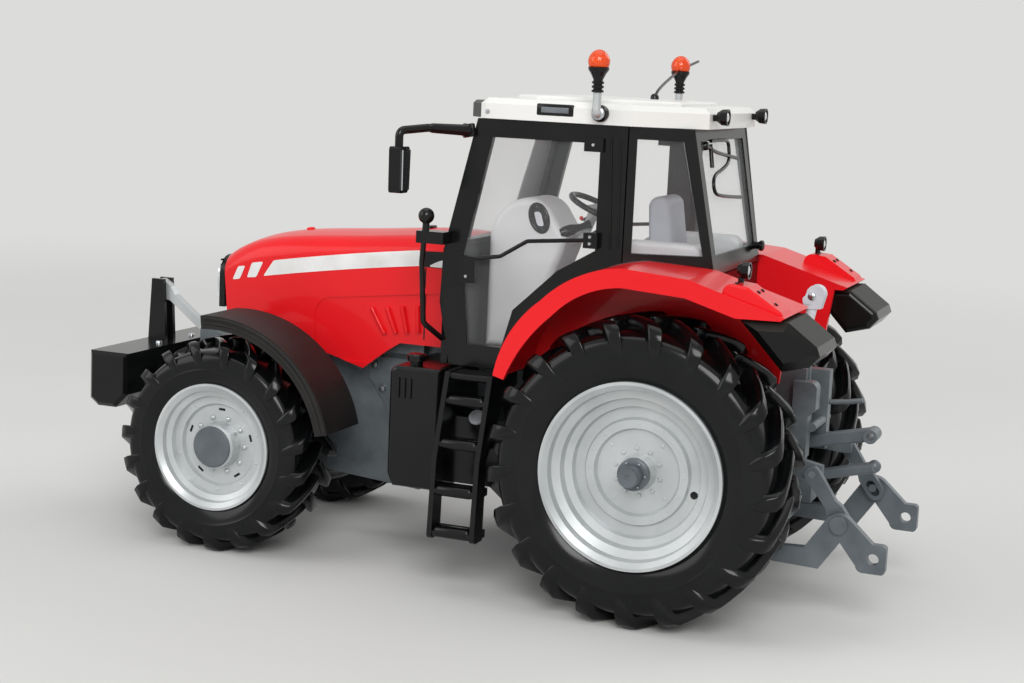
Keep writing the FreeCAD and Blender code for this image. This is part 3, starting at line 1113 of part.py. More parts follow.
arms = []
for hand, side in (("left", 1), ("right", -1)):
    y_mid = f"{side} * linkY"
    link = plate(f"link_{hand}", "XZ_Plane", [[
        ("linkPivotX + 1.8", "linkPivotZ + 1"), ("rodFootX + 6.4", "linkPivotZ + 1.6"),
        ("rodFootX + 2.2", "rodFootZ + 1.2"), ("rodFootX - 2", "rodFootZ + 1.2", "rodFootX", "rodFootZ + 2"),
        ("2.6 - rearReach", "hookTop"), ("0.8 - rearReach", "hookTop"),
        ("-rearReach", "hookTop - 0.8", "0.24 - rearReach", "hookTop - 0.24"), ("-rearReach", "hookTop - 4.8"),
        ("0.8 - rearReach", "hookTop - 5.6", "0.24 - rearReach", "hookTop - 5.36"), ("4.2 - rearReach", "hookTop - 5.6"),
        ("5.6 - rearReach", "hookTop - 4.4", "5.2 - rearReach", "hookTop - 5.2"),
        ("rodFootX - 0.4", "rodFootZ - 3.4"),
        ("rodFootX + 3.4", 11.4), ("linkPivotX + 1.8", "linkPivotZ - 1.6"),
    ], ("circle", "linkPivotX", "linkPivotZ", "smallPinRadius + runningFit"),
        ("circle", "2.4 - rearReach", "hookTop - 2.8", "hookBore")], "linkThickness", (0, y_mid, 0))
    foot_pin = pins_between(f"rod_foot_pin_{hand}", side, "rodFootX", "rodFootZ",
                            "linkY - linkThickness / 2 - rodThickness - 0.6", "linkY")
    foot_head = pins_between(f"rod_foot_head_{hand}", side, "rodFootX", "rodFootZ",
                             "linkY + linkThickness / 2 - 0.1", "linkY + linkThickness / 2 + 0.7", 1.7)
    node(f"lower_link_{hand}", [fused(f"link_{hand}_whole", [link, foot_pin, foot_head])])
    rod = plate(f"lift_rod_{hand}_bar", "XZ_Plane", [ROD, ROD_SLOT, (
        "circle", 0, 0, "smallPinRadius + runningFit")],
        "rodThickness", ("rodTopX", f"{side} * {ROD_Y}", "rodTopZ"), Vector(0, 1, 0), rod_turn)
    node(f"lift_rod_{hand}", [rod])
    arms.append(plate(f"lift_arm_{hand}", "XZ_Plane", [[
        ("armPivotX + 1", "armPivotZ + 2"), ("rodTopX - 1.5", "rodTopZ + 1.4"), ("rodTopX - 1.5", "rodTopZ - 1.4"),
        ("rodTopX + 1", "rodTopZ - 1.4"), ("armPivotX + 1", "armPivotZ - 2"),
    ]], "rodThickness", (0, f"{side} * {ARM_Y}", 0)))
    arms.append(pins_between(f"rod_top_pin_{hand}", side, "rodTopX", "rodTopZ",
                             "linkY - linkThickness / 2 - 1.5 * rodThickness",
                             "linkY - linkThickness / 2 - 0.1"))
shaft = pin_y("lift_shaft", "armPivotX", "armPivotZ", "liftShaftRadius", f"-{ARM_Y}", ARM_Y)
node("lift_arms", [fused("lift_whole", [shaft] + arms)])

# Front linkage: two arms, the ballast with its tower and the top link.
front_arms = []
for hand, side in (("left", 1), ("right", -1)):
    front_arms.append(plate(f"front_arm_{hand}", "XZ_Plane", [[
        ("frontPivotX", "frontPivotZ + 1.8", "frontPivotX - 1.8", "frontPivotZ"),
        ("ballastPivotX - 1.3", "ballastPivotZ + 1"),
        ("ballastPivotX + 0.4", "ballastPivotZ - 1.6", "ballastPivotX + 1.2", "ballastPivotZ + 1.1"),
        ("frontPivotX + 1.2", "frontPivotZ - 1.6"),
    ], ("circle", "frontPivotX", "frontPivotZ", "smallPinRadius + runningFit"),
        ("circle", "ballastPivotX", "ballastPivotZ", "smallPinRadius + runningFit")],
        "frontArmThickness", (0, f"{side} * frontArmY", 0)))
front_cross = pin_y("front_cross", "(frontPivotX + ballastPivotX) / 2 + 1",
                    "(frontPivotZ + ballastPivotZ) / 2 + 0.4", 1, "-frontArmY", "frontArmY")
node("front_arms", [fused("front_arms_whole", front_arms + [front_cross])])
ballast = plate("ballast_side", "XZ_Plane", [[
    ("ballastRear", 29), ("ballastRear", 38), ("ballastFace", 38), ("ballastFace", 27.5), ("ballastFace - 2", 26),
    ("ballastRear + 3", 26),
]], "2 * ballastHalf")
softened(softened(ballast, LEFT, 0.8, "Chamfer"), RIGHT, 0.8, "Chamfer")
tower = plate("tower_cheek", "XZ_Plane", [[
    ("towerPinX - 2.2", 37), ("towerPinX + 2.4", 37), ("towerPinX + 1.6", "towerPinZ + 1.8"),
    ("towerPinX - 1.4", "towerPinZ + 1.8"),
]], 1, (0, "eyeThickness / 2 + 0.7", 0))
tower_pin = pin_y("tower_pin", "towerPinX", "towerPinZ", "smallPinRadius",
                  "-eyeThickness / 2 - 0.7", "eyeThickness / 2 + 0.7")
lug = block("ballast_lug", ("ballastPivotX - 1.6", "frontArmY + frontArmThickness / 2 + seatGap", "ballastPivotZ - 1.8"),
            ("ballastRear + 0.5", "frontArmY + frontArmThickness / 2 + 2.4", "ballastPivotZ + 1.8"))
lug_pin = pin_y("ballast_lug_pin", "ballastPivotX", "ballastPivotZ", "smallPinRadius",
                "frontArmY - frontArmThickness / 2 - 0.3", "frontArmY + frontArmThickness / 2 + 1")
node("front_ballast", [fused("ballast_whole", [
    ballast, tower, other_side(tower), tower_pin, lug, other_side(lug), lug_pin, other_side(lug_pin),
])])
link_turn = math.degrees(math.atan2(number("towerPinZ - topPivotZ"), number("towerPinX - topPivotX")))
link_reach = math.hypot(number("towerPinZ - topPivotZ"), number("towerPinX - topPivotX"))
top_link = plate("top_link_bar", "XZ_Plane", [[
    (1.3, 0.9), (link_reach - 4, 0.9), (link_reach - 2, 1.7), (link_reach, 1.7),
    (link_reach, -1.7, link_reach + 1.7, 0), (link_reach - 2, -1.7), (link_reach - 4, -0.9), (1.3, -0.9),
    (0, -1.6), (0, 1.6, -1.6, 0),
], ("circle", 0, 0, "smallPinRadius + runningFit"), ("circle", link_reach, 0, "smallPinRadius + openPinFit")],
    "eyeThickness", ("topPivotX", 0, "topPivotZ"), Vector(0, -1, 0), link_turn)
node("front_top_link", [top_link])

doc.recompute()
troubles = [thing.Name for thing in doc.Objects if {"Invalid", "Error"} & set(thing.State)]
assert not troubles, troubles
for group in nodes:
    assert not group.Shape.isNull() and group.Shape.isValid(), group.Label
os.makedirs("parts", exist_ok=True)
for group in nodes:
    group.Shape.exportStep(f"parts/{group.Label}.step")
    print(f"{group.Label:20s} {len(group.Shape.Solids):3d} solids {group.Shape.Volume:9.1f} mm3")
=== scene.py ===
import bpy
import bmesh
import json
import math
from mathutils import Matrix, Vector
from mathutils.bvhtree import BVHTree

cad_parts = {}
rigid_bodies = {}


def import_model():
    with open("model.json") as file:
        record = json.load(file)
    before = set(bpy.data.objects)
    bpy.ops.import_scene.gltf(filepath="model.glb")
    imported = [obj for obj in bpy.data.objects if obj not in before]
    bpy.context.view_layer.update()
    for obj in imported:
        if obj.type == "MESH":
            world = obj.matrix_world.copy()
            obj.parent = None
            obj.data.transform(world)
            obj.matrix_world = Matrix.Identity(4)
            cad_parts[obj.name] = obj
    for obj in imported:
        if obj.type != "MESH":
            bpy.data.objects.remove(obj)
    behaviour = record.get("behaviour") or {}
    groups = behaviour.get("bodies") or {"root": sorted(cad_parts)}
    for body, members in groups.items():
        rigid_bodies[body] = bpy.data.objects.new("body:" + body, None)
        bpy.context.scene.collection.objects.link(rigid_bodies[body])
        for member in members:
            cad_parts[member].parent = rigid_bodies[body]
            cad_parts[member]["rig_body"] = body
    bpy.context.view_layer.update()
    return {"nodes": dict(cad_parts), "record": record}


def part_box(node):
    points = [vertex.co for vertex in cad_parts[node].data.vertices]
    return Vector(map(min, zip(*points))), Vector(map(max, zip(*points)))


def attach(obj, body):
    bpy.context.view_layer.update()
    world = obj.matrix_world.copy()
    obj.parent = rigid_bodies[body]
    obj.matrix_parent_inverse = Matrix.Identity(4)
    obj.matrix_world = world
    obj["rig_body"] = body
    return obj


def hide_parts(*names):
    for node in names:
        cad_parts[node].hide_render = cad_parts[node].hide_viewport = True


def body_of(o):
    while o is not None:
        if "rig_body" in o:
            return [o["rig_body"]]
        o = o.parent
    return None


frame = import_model()
mm = 0.001  # the scene is in metres
rearAxleX = -41.95  # rear axle in the model's frame, in mm
hands = (("left", 1), ("right", -1))  # each side with its sign of Y
print("frame loaded:", len(frame["nodes"]), "nodes")


# Helpers for colours and shader nodes.
def hexLinear(code):
    parts = [int(code[i:i + 2], 16) / 255 for i in (1, 3, 5)]
    return tuple(c / 12.92 if c <= 0.04045 else ((c + 0.055) / 1.055) ** 2.4 for c in parts) + (1.0,)


def addNode(tree, kind, settings=None, links=None):
    # a number as key is the place of a socket that shares its name with others
    node = tree.nodes.new(kind)
    for key, value in (settings or {}).items():
        if isinstance(key, int) or key in node.inputs:
            node.inputs[key].default_value = value
        else:
            setattr(node, key, value)
    for key, source in (links or {}).items():
        tree.links.new(source, node.inputs[key])
    return node


def patternScale(size):
    return 1 / (size * mm)  # one pattern feature of this many mm


def setStops(shade, positions, codes):
    for stop, position, code in zip(shade.color_ramp.elements, positions, codes):
        stop.position = position
        stop.color = hexLinear(code)


def startMaterial(name, shader):
    material = bpy.data.materials.new(name)
    material.use_nodes = True
    tree = material.node_tree
    tree.nodes.clear()
    place = addNode(tree, "ShaderNodeTexCoord").outputs["Object"]
    surface = addNode(tree, "ShaderNodeBsdfPrincipled", shader)
    addNode(tree, "ShaderNodeOutputMaterial", None, {"Surface": surface.outputs["BSDF"]})
    return material, tree, place, surface


def addVariation(tree, place, surface, look):
    # colour and gloss drift over patches of some mm
    cloud = addNode(tree, "ShaderNodeTexNoise", {"Scale": patternScale(look["patch"]), "Detail": 4.0},
                    {"Vector": place})
    shade = addNode(tree, "ShaderNodeValToRGB", None, {"Fac": cloud.outputs["Fac"]})
    setStops(shade, (0.3, 0.7), look["hex"])
    tree.links.new(shade.outputs["Color"], surface.inputs["Base Color"])
    low, high = look["rough"]
    gloss = addNode(tree, "ShaderNodeMapRange", {"To Min": low, "To Max": high}, {"Value": cloud.outputs["Fac"]})
    tree.links.new(gloss.outputs["Result"], surface.inputs["Roughness"])


def addGrain(tree, place, surface, look):
    grain = addNode(tree, "ShaderNodeTexNoise", {"Scale": patternScale(look["grain"]), "Detail": 3.0},
                    {"Vector": place})
    bump = addNode(tree, "ShaderNodeBump", {"Distance": look["depth"] * mm, "Strength": look["strength"]},
                   {"Height": grain.outputs["Fac"]})
    tree.links.new(bump.outputs["Normal"], surface.inputs["Normal"])


ribsPerUnit = 6.28  # about as many ribs and gaps as Blender's wave has to a unit at scale 1


def addRibs(tree, place, surface, look):
    # ribs inside a clear moulding, each as wide as the gap beside it
    scale = patternScale(look["rib"]) / ribsPerUnit
    ribs = addNode(tree, "ShaderNodeTexWave", {"Scale": scale, "bands_direction": look["across"]}, {"Vector": place})
    bump = addNode(tree, "ShaderNodeBump", {"Distance": look["depth"] * mm, "Strength": look["strength"]},
                   {"Height": ribs.outputs["Fac"]})
    tree.links.new(bump.outputs["Normal"], surface.inputs["Normal"])


def grainedFinish(name, shader, look):
    material, tree, place, surface = startMaterial(name, shader)
    addVariation(tree, place, surface, look)
    addGrain(tree, place, surface, look)
    return material


# Finishes, each from what the real one is and how its surface was made. In a look: hex is the colour's two ends,
# patch, grain, flake and rib are sizes in mm, depth is the relief's height in mm, rough is the roughness's two ends.
def lacqueredZinc():
    # Die-cast zinc under sprayed red lacquer: deep even colour, sharp gloss, a trace of orange peel.
    lacquer = {"hex": ("#e2121b", "#ec1a22"), "patch": 60, "rough": (0.28, 0.36), "grain": 1.6, "depth": 0.01,
               "strength": 0.25}
    return grainedFinish("lacquered die-cast zinc", {
        "IOR": 1.5, "Specular IOR Level": 0.2, "Coat Weight": 0.25, "Coat Roughness": 0.05, "Coat IOR": 1.5}, lacquer)


def whiteAbs():
    # Injection-moulded ABS in white: silky, with flow marks too faint to see but in the gloss.
    moulding = {"hex": ("#e0e0dd", "#e9e9e6"), "patch": 25, "rough": (0.3, 0.38), "grain": 0.5, "depth": 0.006,
                "strength": 0.4}
    return grainedFinish("moulded white ABS", {"IOR": 1.53}, moulding)


def printedWhite():
    # Pad-printed white ink over the lacquer: thin, dense, a little duller than the red, darker where it is thin.
    ink = {"hex": ("#dddcda", "#eeedec"), "patch": 5, "rough": (0.34, 0.44), "grain": 0.35, "depth": 0.004,
           "strength": 0.4}
    return grainedFinish("pad-printed ink", {"IOR": 1.48}, ink)


def blackAbs():
    # Moulded black ABS from a lightly eroded tool: soft sheen, lighter where the light grazes it.
    moulding = {"hex": ("#080909", "#101111"), "patch": 8, "rough": (0.14, 0.24), "grain": 0.3, "depth": 0.008,
                "strength": 0.5}
    return grainedFinish("moulded black ABS", {"IOR": 1.53, "Specular IOR Level": 0.28}, moulding)


def mattAbs():
    # Front mudguards of brown-black ABS from a blasted tool: no gloss, and uneven as handling leaves it.
    moulding = {"hex": ("#141312", "#201d1c"), "patch": 6, "rough": (0.5, 0.64), "grain": 0.4, "depth": 0.03,
                "strength": 0.7}
    return grainedFinish("blasted brown-black ABS", {"IOR": 1.5, "Specular IOR Level": 0.3}, moulding)


def paintedTopLightAbs():
    # Fender extensions: matt on top, from a blasted tool, and polished elsewhere; the colour is painted paler on
    # faces that point up, as painted light from above.
    moulding = {"side": "#0b0c0b", "top": "#262723", "turn": (0.62, 0.8), "patch": 5, "uneven": 0.12,
                "sideRough": 0.2, "topRough": 0.62, "grain": 0.4, "depth": 0.02, "strength": 0.5}
    material, tree, place, surface = startMaterial("blasted and polished ABS with painted top light", {
        "IOR": 1.53, "Specular IOR Level": 0.24})
    normal = addNode(tree, "ShaderNodeTexCoord").outputs["Normal"]
    facing = addNode(tree, "ShaderNodeSeparateXYZ", None, {"Vector": normal})
    cloud = addNode(tree, "ShaderNodeTexNoise", {"Scale": patternScale(moulding["patch"])}, {"Vector": place})
    # painted light: the colour turns from the sides' black to the paler top the more a face points up
    upward = addNode(tree, "ShaderNodeMath", {"operation": "MULTIPLY_ADD", 1: moulding["uneven"]},
                     {0: cloud.outputs["Fac"], 2: facing.outputs["Z"]})
    shade = addNode(tree, "ShaderNodeValToRGB", None, {"Fac": upward.outputs["Value"]})
    setStops(shade, moulding["turn"], (moulding["side"], moulding["top"]))
    tree.links.new(shade.outputs["Color"], surface.inputs["Base Color"])
    low, high = moulding["turn"]
    gloss = addNode(tree, "ShaderNodeMapRange", {"From Min": low, "From Max": high, "To Min": moulding["sideRough"],
                                                 "To Max": moulding["topRough"]}, {"Value": upward.outputs["Value"]})
    tree.links.new(gloss.outputs["Result"], surface.inputs["Roughness"])
    addGrain(tree, place, surface, moulding)
    return material


def greyLacqueredCasting():
    # Die-cast zinc, tumbled and sprayed dark grey: satin, speckled where the casting's skin shows through.
    lacquer = {"hex": ("#596064", "#70777b"), "patch": 5, "rough": (0.36, 0.5), "grain": 0.6, "depth": 0.06,
               "strength": 0.7}
    return grainedFinish("grey lacquered casting", {"IOR": 1.5, "Metallic": 0.15}, lacquer)


def linkageLacquer():
    # Stamped zinc links in blue-grey lacquer, smoother than the castings.
    lacquer = {"hex": ("#50575c", "#666d72"), "patch": 6, "rough": (0.34, 0.44), "grain": 0.35, "depth": 0.012,
               "strength": 0.5}
    return grainedFinish("linkage grey lacquer", {"IOR": 1.5, "Metallic": 0.1}, lacquer)


def paleLacquer():
    # Zinc under pale blue-grey lacquer, nearly white, on the rear top link and the battery caps.
    lacquer = {"hex": ("#c4c8cf", "#dadde2"), "patch": 4, "rough": (0.36, 0.5), "grain": 0.4, "depth": 0.02,
               "strength": 0.5}
    return grainedFinish("pale lacquered zinc", {"IOR": 1.5, "Specular IOR Level": 0.35}, lacquer)


def aluminiumPaint():
    # Silver paint on moulded rims: flakes that glint, drawn three times too coarse so that they show, on satin.
    paint = {"hex": ("#b3b7b8", "#cccfd0"), "patch": 12, "rough": (0.32, 0.42), "flake": 0.2, "depth": 0.014,
             "strength": 0.4}
    material, tree, place, surface = startMaterial("silver flake paint", {"Metallic": 0.5, "IOR": 1.5})
    addVariation(tree, place, surface, paint)
    flakes = addNode(tree, "ShaderNodeTexVoronoi", {"Scale": patternScale(paint["flake"])}, {"Vector": place})
    bump = addNode(tree, "ShaderNodeBump", {"Distance": paint["depth"] * mm, "Strength": paint["strength"]},
                   {"Height": flakes.outputs["Distance"]})
    tree.links.new(bump.outputs["Normal"], surface.inputs["Normal"])
    return material


def softVinyl():
    # Moulded soft vinyl tyres: near black with an oily sheen that catches on the lugs' edges.
    vinyl = {"hex": ("#060708", "#0d0e0f"), "patch": 7, "rough": (0.12, 0.22), "grain": 0.4, "depth": 0.01,
             "strength": 0.5}
    return grainedFinish("soft vinyl", {"IOR": 1.52, "Specular IOR Level": 0.27}, vinyl)


def clearStyrene():
    # Crystal polystyrene panes, under a millimetre thick: see-through head on, mirroring where seen aslant.
    pane = {"hex": "#eef2f3", "grain": 14, "depth": 0.02, "strength": 0.3, "hazePatch": 9, "rough": (0.01, 0.05),
            "headOn": 0.03, "aslant": 0.35}
    material, tree, place, surface = startMaterial("clear styrene", {
        "IOR": 1.59, "Base Color": hexLinear(pane["hex"])})
    addGrain(tree, place, surface, pane)
    haze = addNode(tree, "ShaderNodeTexNoise", {"Scale": patternScale(pane["hazePatch"])}, {"Vector": place})
    low, high = pane["rough"]
    polish = addNode(tree, "ShaderNodeMapRange", {"To Min": low, "To Max": high}, {"Value": haze.outputs["Fac"]})
    tree.links.new(polish.outputs["Result"], surface.inputs["Roughness"])
    slant = addNode(tree, "ShaderNodeLayerWeight", {"Blend": 0.25})
    cover = addNode(tree, "ShaderNodeMapRange", {"To Min": pane["headOn"], "To Max": pane["aslant"]},
                    {"Value": slant.outputs["Fresnel"]})
    tree.links.new(cover.outputs["Result"], surface.inputs["Alpha"])
    return material


def amberStyrene():
    # Beacon domes of tinted styrene, ribbed inside, glowing where light passes.
    dome = {"hex": ("#ee4408", "#fb5c10"), "patch": 3, "rough": (0.06, 0.12), "rib": 1.1, "across": "X",
            "depth": 0.05, "strength": 0.3}
    material, tree, place, surface = startMaterial("amber styrene", {
        "IOR": 1.5, "Transmission Weight": 0.2, "Subsurface Weight": 0.3, "Subsurface Scale": 0.001})
    addVariation(tree, place, surface, dome)
    addRibs(tree, place, surface, dome)
    return material


def greyAbs():
    # Cab interior moulded in pale grey ABS, matt from a sparked tool.
    moulding = {"hex": ("#dcdee0", "#e6e8ea"), "patch": 9, "rough": (0.42, 0.55), "grain": 0.35, "depth": 0.012,
                "strength": 0.5}
    return grainedFinish("moulded grey ABS", {"IOR": 1.53}, moulding)


def seatAbs():
    # The seat in a cooler grey, moulded with a fine upholstery grain.
    moulding = {"hex": ("#a9aeb6", "#bcc1c8"), "patch": 6, "rough": (0.5, 0.65), "grain": 0.45, "depth": 0.03,
                "strength": 0.7}
    return grainedFinish("grained seat ABS", {"IOR": 1.5}, moulding)


def mirrorFoil():
    # Hot-stamped chrome foil in the mirror cases, faintly rippled.
    foil = {"hex": ("#c9ced2", "#dfe3e6"), "patch": 10, "rough": (0.04, 0.1), "grain": 4, "depth": 0.01,
            "strength": 0.4}
    return grainedFinish("hot-stamped chrome foil", {"Metallic": 1.0}, foil)


def lensStyrene():
    # Clear lamp lenses over a metallised bowl: bright, ribbed, with dark gaps.
    lens = {"hex": ("#c7cbd0", "#eef1f3"), "patch": 1.5, "rough": (0.1, 0.22), "rib": 0.7, "across": "Y",
            "depth": 0.06, "strength": 0.5}
    material, tree, place, surface = startMaterial("ribbed lamp styrene", {"Metallic": 0.7, "Coat Weight": 1.0})
    addVariation(tree, place, surface, lens)
    addRibs(tree, place, surface, lens)
    return material


def platedSteel():
    # Bright-plated pins and screw heads: metal, scuffed by the tumbling barrel.
    plate = {"hex": ("#a9adb0", "#c8cccf"), "patch": 1.5, "rough": (0.22, 0.4)}
    material, tree, place, surface = startMaterial("bright-plated steel", {"Metallic": 1.0})
    addVariation(tree, place, surface, plate)
    return material


finishes = {
    "body_red": lacqueredZinc(),
    "roof_white": whiteAbs(),
    "black_plastic": blackAbs(),
    "casting_grey": greyLacqueredCasting(),
    "linkage_grey": linkageLacquer(),
    "rim_silver": aluminiumPaint(),
    "tyre": softVinyl(),
    "glass": clearStyrene(),
    "mirror": mirrorFoil(),
    "lamp_clear": lensStyrene(),
    "beacon_orange": amberStyrene(),
    "interior_grey": greyAbs(),
}
ownFinishes = {  # nodes and pieces whose finish isn't the one that their slot usually has
    "mudguard": mattAbs(),
    "extension": paintedTopLightAbs(),
    "seat": seatAbs(),
    "print": printedWhite(),
    "pale": paleLacquer(),
    "plated": platedSteel(),
}
print("materials made:", len(finishes) + len(ownFinishes))


# Helpers for pieces. Points are in mm from the rear axle's plane, +Y left, +Z up from the ground.
def world(x, y, z):
    return Vector(((x + rearAxleX) * mm, y * mm, z * mm))


def handed(spot, side):
    return spot[0], side * spot[1], spot[2]


def addPiece(name, points, faces, body, slot, own=None, bevel=0.0, sharp=40):
    mesh = bpy.data.meshes.new(name)
    mesh.from_pydata([world(*point) for point in points], [], faces)
    mesh.validate()
    shape = bmesh.new()
    shape.from_mesh(mesh)
    bmesh.ops.recalc_face_normals(shape, faces=shape.faces)
    shape.to_mesh(mesh)
    shape.free()
    piece = bpy.data.objects.new(name, mesh)
    bpy.context.scene.collection.objects.link(piece)
    mesh.materials.append(ownFinishes[own] if own else finishes[slot])
    mesh.polygons.foreach_set("use_smooth", [True] * len(mesh.polygons))
    if bevel:
        roundEdges(piece, bevel)
    else:
        mesh.set_sharp_from_angle(angle=math.radians(sharp))
    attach(piece, body)
    return piece


roundEdge = {"segments": 2, "from": 35}  # from this many degrees between two faces


def roundEdges(piece, width):
    edges = piece.modifiers.new("round edges", "BEVEL")
    edges.width = width * mm
    edges.segments = roundEdge["segments"]
    edges.limit_method = "ANGLE"
    edges.angle_limit = math.radians(roundEdge["from"])
    edges.harden_normals = False
    edges.use_clamp_overlap = True


def addTurned(name, profile, places, body, slot, own=None, sides=24):
    # profile: mm along the axis and from it; places: the axis's foot and its direction
    points = []
    faces = []
    for foot, direction in places:
        turn = Vector(direction).to_track_quat("Z", "Y")
        start = len(points)
        for along, radius in profile:
            for step in range(sides):
                angle = 2 * math.pi * step / sides
                spot = turn @ Vector((radius * math.cos(angle), radius * math.sin(angle), along))
                points.append((foot[0] + spot.x, foot[1] + spot.y, foot[2] + spot.z))
        for ring in range(len(profile) - 1):
            near = start + ring * sides
            faces += [(near + step, near + (step + 1) % sides, near + sides + (step + 1) % sides, near + sides + step)
                      for step in range(sides)]
        last = start + (len(profile) - 1) * sides
        faces += [tuple(range(start, start + sides)), tuple(range(last, last + sides))]
    return addPiece(name, points, faces, body, slot, own)


def addBlocks(name, blocks, body, slot, bevel):
    # blocks: centre, size, and the angle in degrees about the axle's direction
    points = []
    faces = []
    for centre, size, angle in blocks:
        start = len(points)
        turn = Matrix.Rotation(math.radians(angle), 3, "Y")
        for i in (-0.5, 0.5):
            for j in (-0.5, 0.5):
                for k in (-0.5, 0.5):
                    spot = turn @ Vector((i * size[0], j * size[1], k * size[2]))
                    points.append((centre[0] + spot.x, centre[1] + spot.y, centre[2] + spot.z))
        for corners in ((0, 1, 3, 2), (4, 6, 7, 5), (0, 4, 5, 1), (2, 3, 7, 6), (0, 2, 6, 4), (1, 5, 7, 3)):
            faces.append(tuple(start + corner for corner in corners))
    addPiece(name, points, faces, body, slot, bevel=bevel)


def addWire(name, points, radius, body, slot, own=None, closed=False):
    wire = bpy.data.curves.new(name, "CURVE")
    wire.dimensions = "3D"
    wire.bevel_depth = radius * mm
    wire.bevel_resolution = 4
    wire.use_fill_caps = True
    spline = wire.splines.new("NURBS")
    spline.points.add(len(points) - 1)
    for knot, point in zip(spline.points, points):
        knot.co = (*world(*point), 1)
    spline.order_u = 3
    spline.resolution_u = 8
    spline.use_endpoint_u = not closed
    spline.use_cyclic_u = closed
    piece = bpy.data.objects.new(name, wire)
    bpy.context.scene.collection.objects.link(piece)
    wire.materials.append(ownFinishes[own] if own else finishes[slot])
    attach(piece, body)


def skinOf(*nodes):
    points = []
    faces = []
    for node in nodes:
        mesh = frame["nodes"][node].data
        start = len(points)
        points += [vertex.co.copy() for vertex in mesh.vertices]
        faces += [[start + corner for corner in face.vertices] for face in mesh.polygons]
    return BVHTree.FromPolygons(points, faces)


def meet(skin, start, direction):
    # where a ray in the model's mm meets the skin, and the skin's normal there
    spot, normal = skin.ray_cast(world(*start), Vector(direction).normalized())[:2]
    if spot is None:
        raise ValueError(f"no surface from {start} along {direction}")
    return (spot.x / mm - rearAxleX, spot.y / mm, spot.z / mm), normal


farOut = 40  # mm from the middle plane, outside every skin


def onSide(skin, x, z, side):
    return meet(skin, (x, side * farOut, z), (0, -side, 0))


printGrid = {"column": 0.8, "cornerRows": (0, 0.04, 0.12, 0.25, 0.45, 0.7, 1)}  # mm; shares of the corner's radius


def lineAt(line, share):
    # the smooth curve through all of the line's points, at this share of its length along x
    x = line[0][0] + share * (line[-1][0] - line[0][0])
    z = 0
    for here in line:
        weight = 1
        for other in line:
            if other is not here:
                weight *= (x - other[0]) / (here[0] - other[0])
        z += weight * here[1]
    return Vector((x, z))


def addPrint(name, skin, top, bottom, side, slot, own, corner, lift=0.05):
    # A patch of ink on a side: matching (x, z) points along its long edges, laid on the skin from the side.
    length = (lineAt(top, 1) - lineAt(top, 0)).length
    height = (lineAt(top, 0.5) - lineAt(bottom, 0.5)).length
    columns = max(4, round(length / printGrid["column"]))
    rows = [part * corner / height for part in printGrid["cornerRows"]]
    rows = rows + [rows[-1] + (0.5 - rows[-1]) * part / 2 for part in (1, 2)]
    rows = rows + [1 - row for row in reversed(rows[:-1])]
    points = []
    for row in rows:
        depth = min(row, 1 - row) * height
        inset = corner - math.sqrt(max(0, corner ** 2 - max(0, corner - depth) ** 2))
        for column in range(columns + 1):
            share = inset / length + column / columns * (1 - 2 * inset / length)
            spot = lineAt(top, share).lerp(lineAt(bottom, share), row)
            point, normal = onSide(skin, spot.x, spot.y, side)
            points.append(tuple(Vector(point) + normal * lift))
    wide = columns + 1
    faces = [(row * wide + column, row * wide + column + 1, (row + 1) * wide + column + 1, (row + 1) * wide + column)
             for row in range(len(rows) - 1) for column in range(columns)]
    addPiece(name, points, faces, "tractor", slot, own, sharp=60)


def wheelPlace(node):
    low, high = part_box(node)
    centre = (low + high) / 2 / mm
    return centre.x - rearAxleX, centre.y, centre.z, (high.z - low.z) / 2 / mm, (high.y - low.y) / mm


# Tyres: a rounded carcass with swept lugs that run over the shoulder, in place of the plain solids.
carcassShape = [  # share of the half width, share of the height from bead to tread
    (0.0, 1.0), (0.5, 0.995), (0.8, 0.965), (0.92, 0.89), (0.97, 0.77), (0.985, 0.6), (0.985, 0.505),
    (0.999, 0.487), (0.982, 0.468), (0.955, 0.3), (0.9, 0.17), (0.87, 0.13), (0.85, 0.075), (0.8, 0.035),
    (0.795, 0.0),
]
lugStations = [  # share of the half width, turn and half width in pitches, share of the lug's height, foot depth
    (-0.03, 0.5, 0.06, 0.9, 0.0), (0.02, 0.44, 0.085, 1.0, 0.0), (0.3, 0.15, 0.1, 1.0, 0.0),
    (0.6, -0.13, 0.12, 0.98, 0.1), (0.8, -0.31, 0.15, 0.92, 0.4), (0.92, -0.42, 0.165, 0.5, 1.2),
    (0.985, -0.49, 0.155, -0.35, 3.0), (1.0, -0.535, 0.11, -1.15, 4.4), (0.985, -0.57, 0.05, -1.95, 5.6),
]
lugRoot = {"sunk": 0.5, "reach": 0.93, "flare": 0.045, "edge": 0.3}  # mm, share of half width, pitches, mm
tyreTable = {
    "rear": {"lugs": 21, "rise": 2.2, "bore": 16.95},
    "front": {"lugs": 19, "rise": 1.8, "bore": 12.45},
}


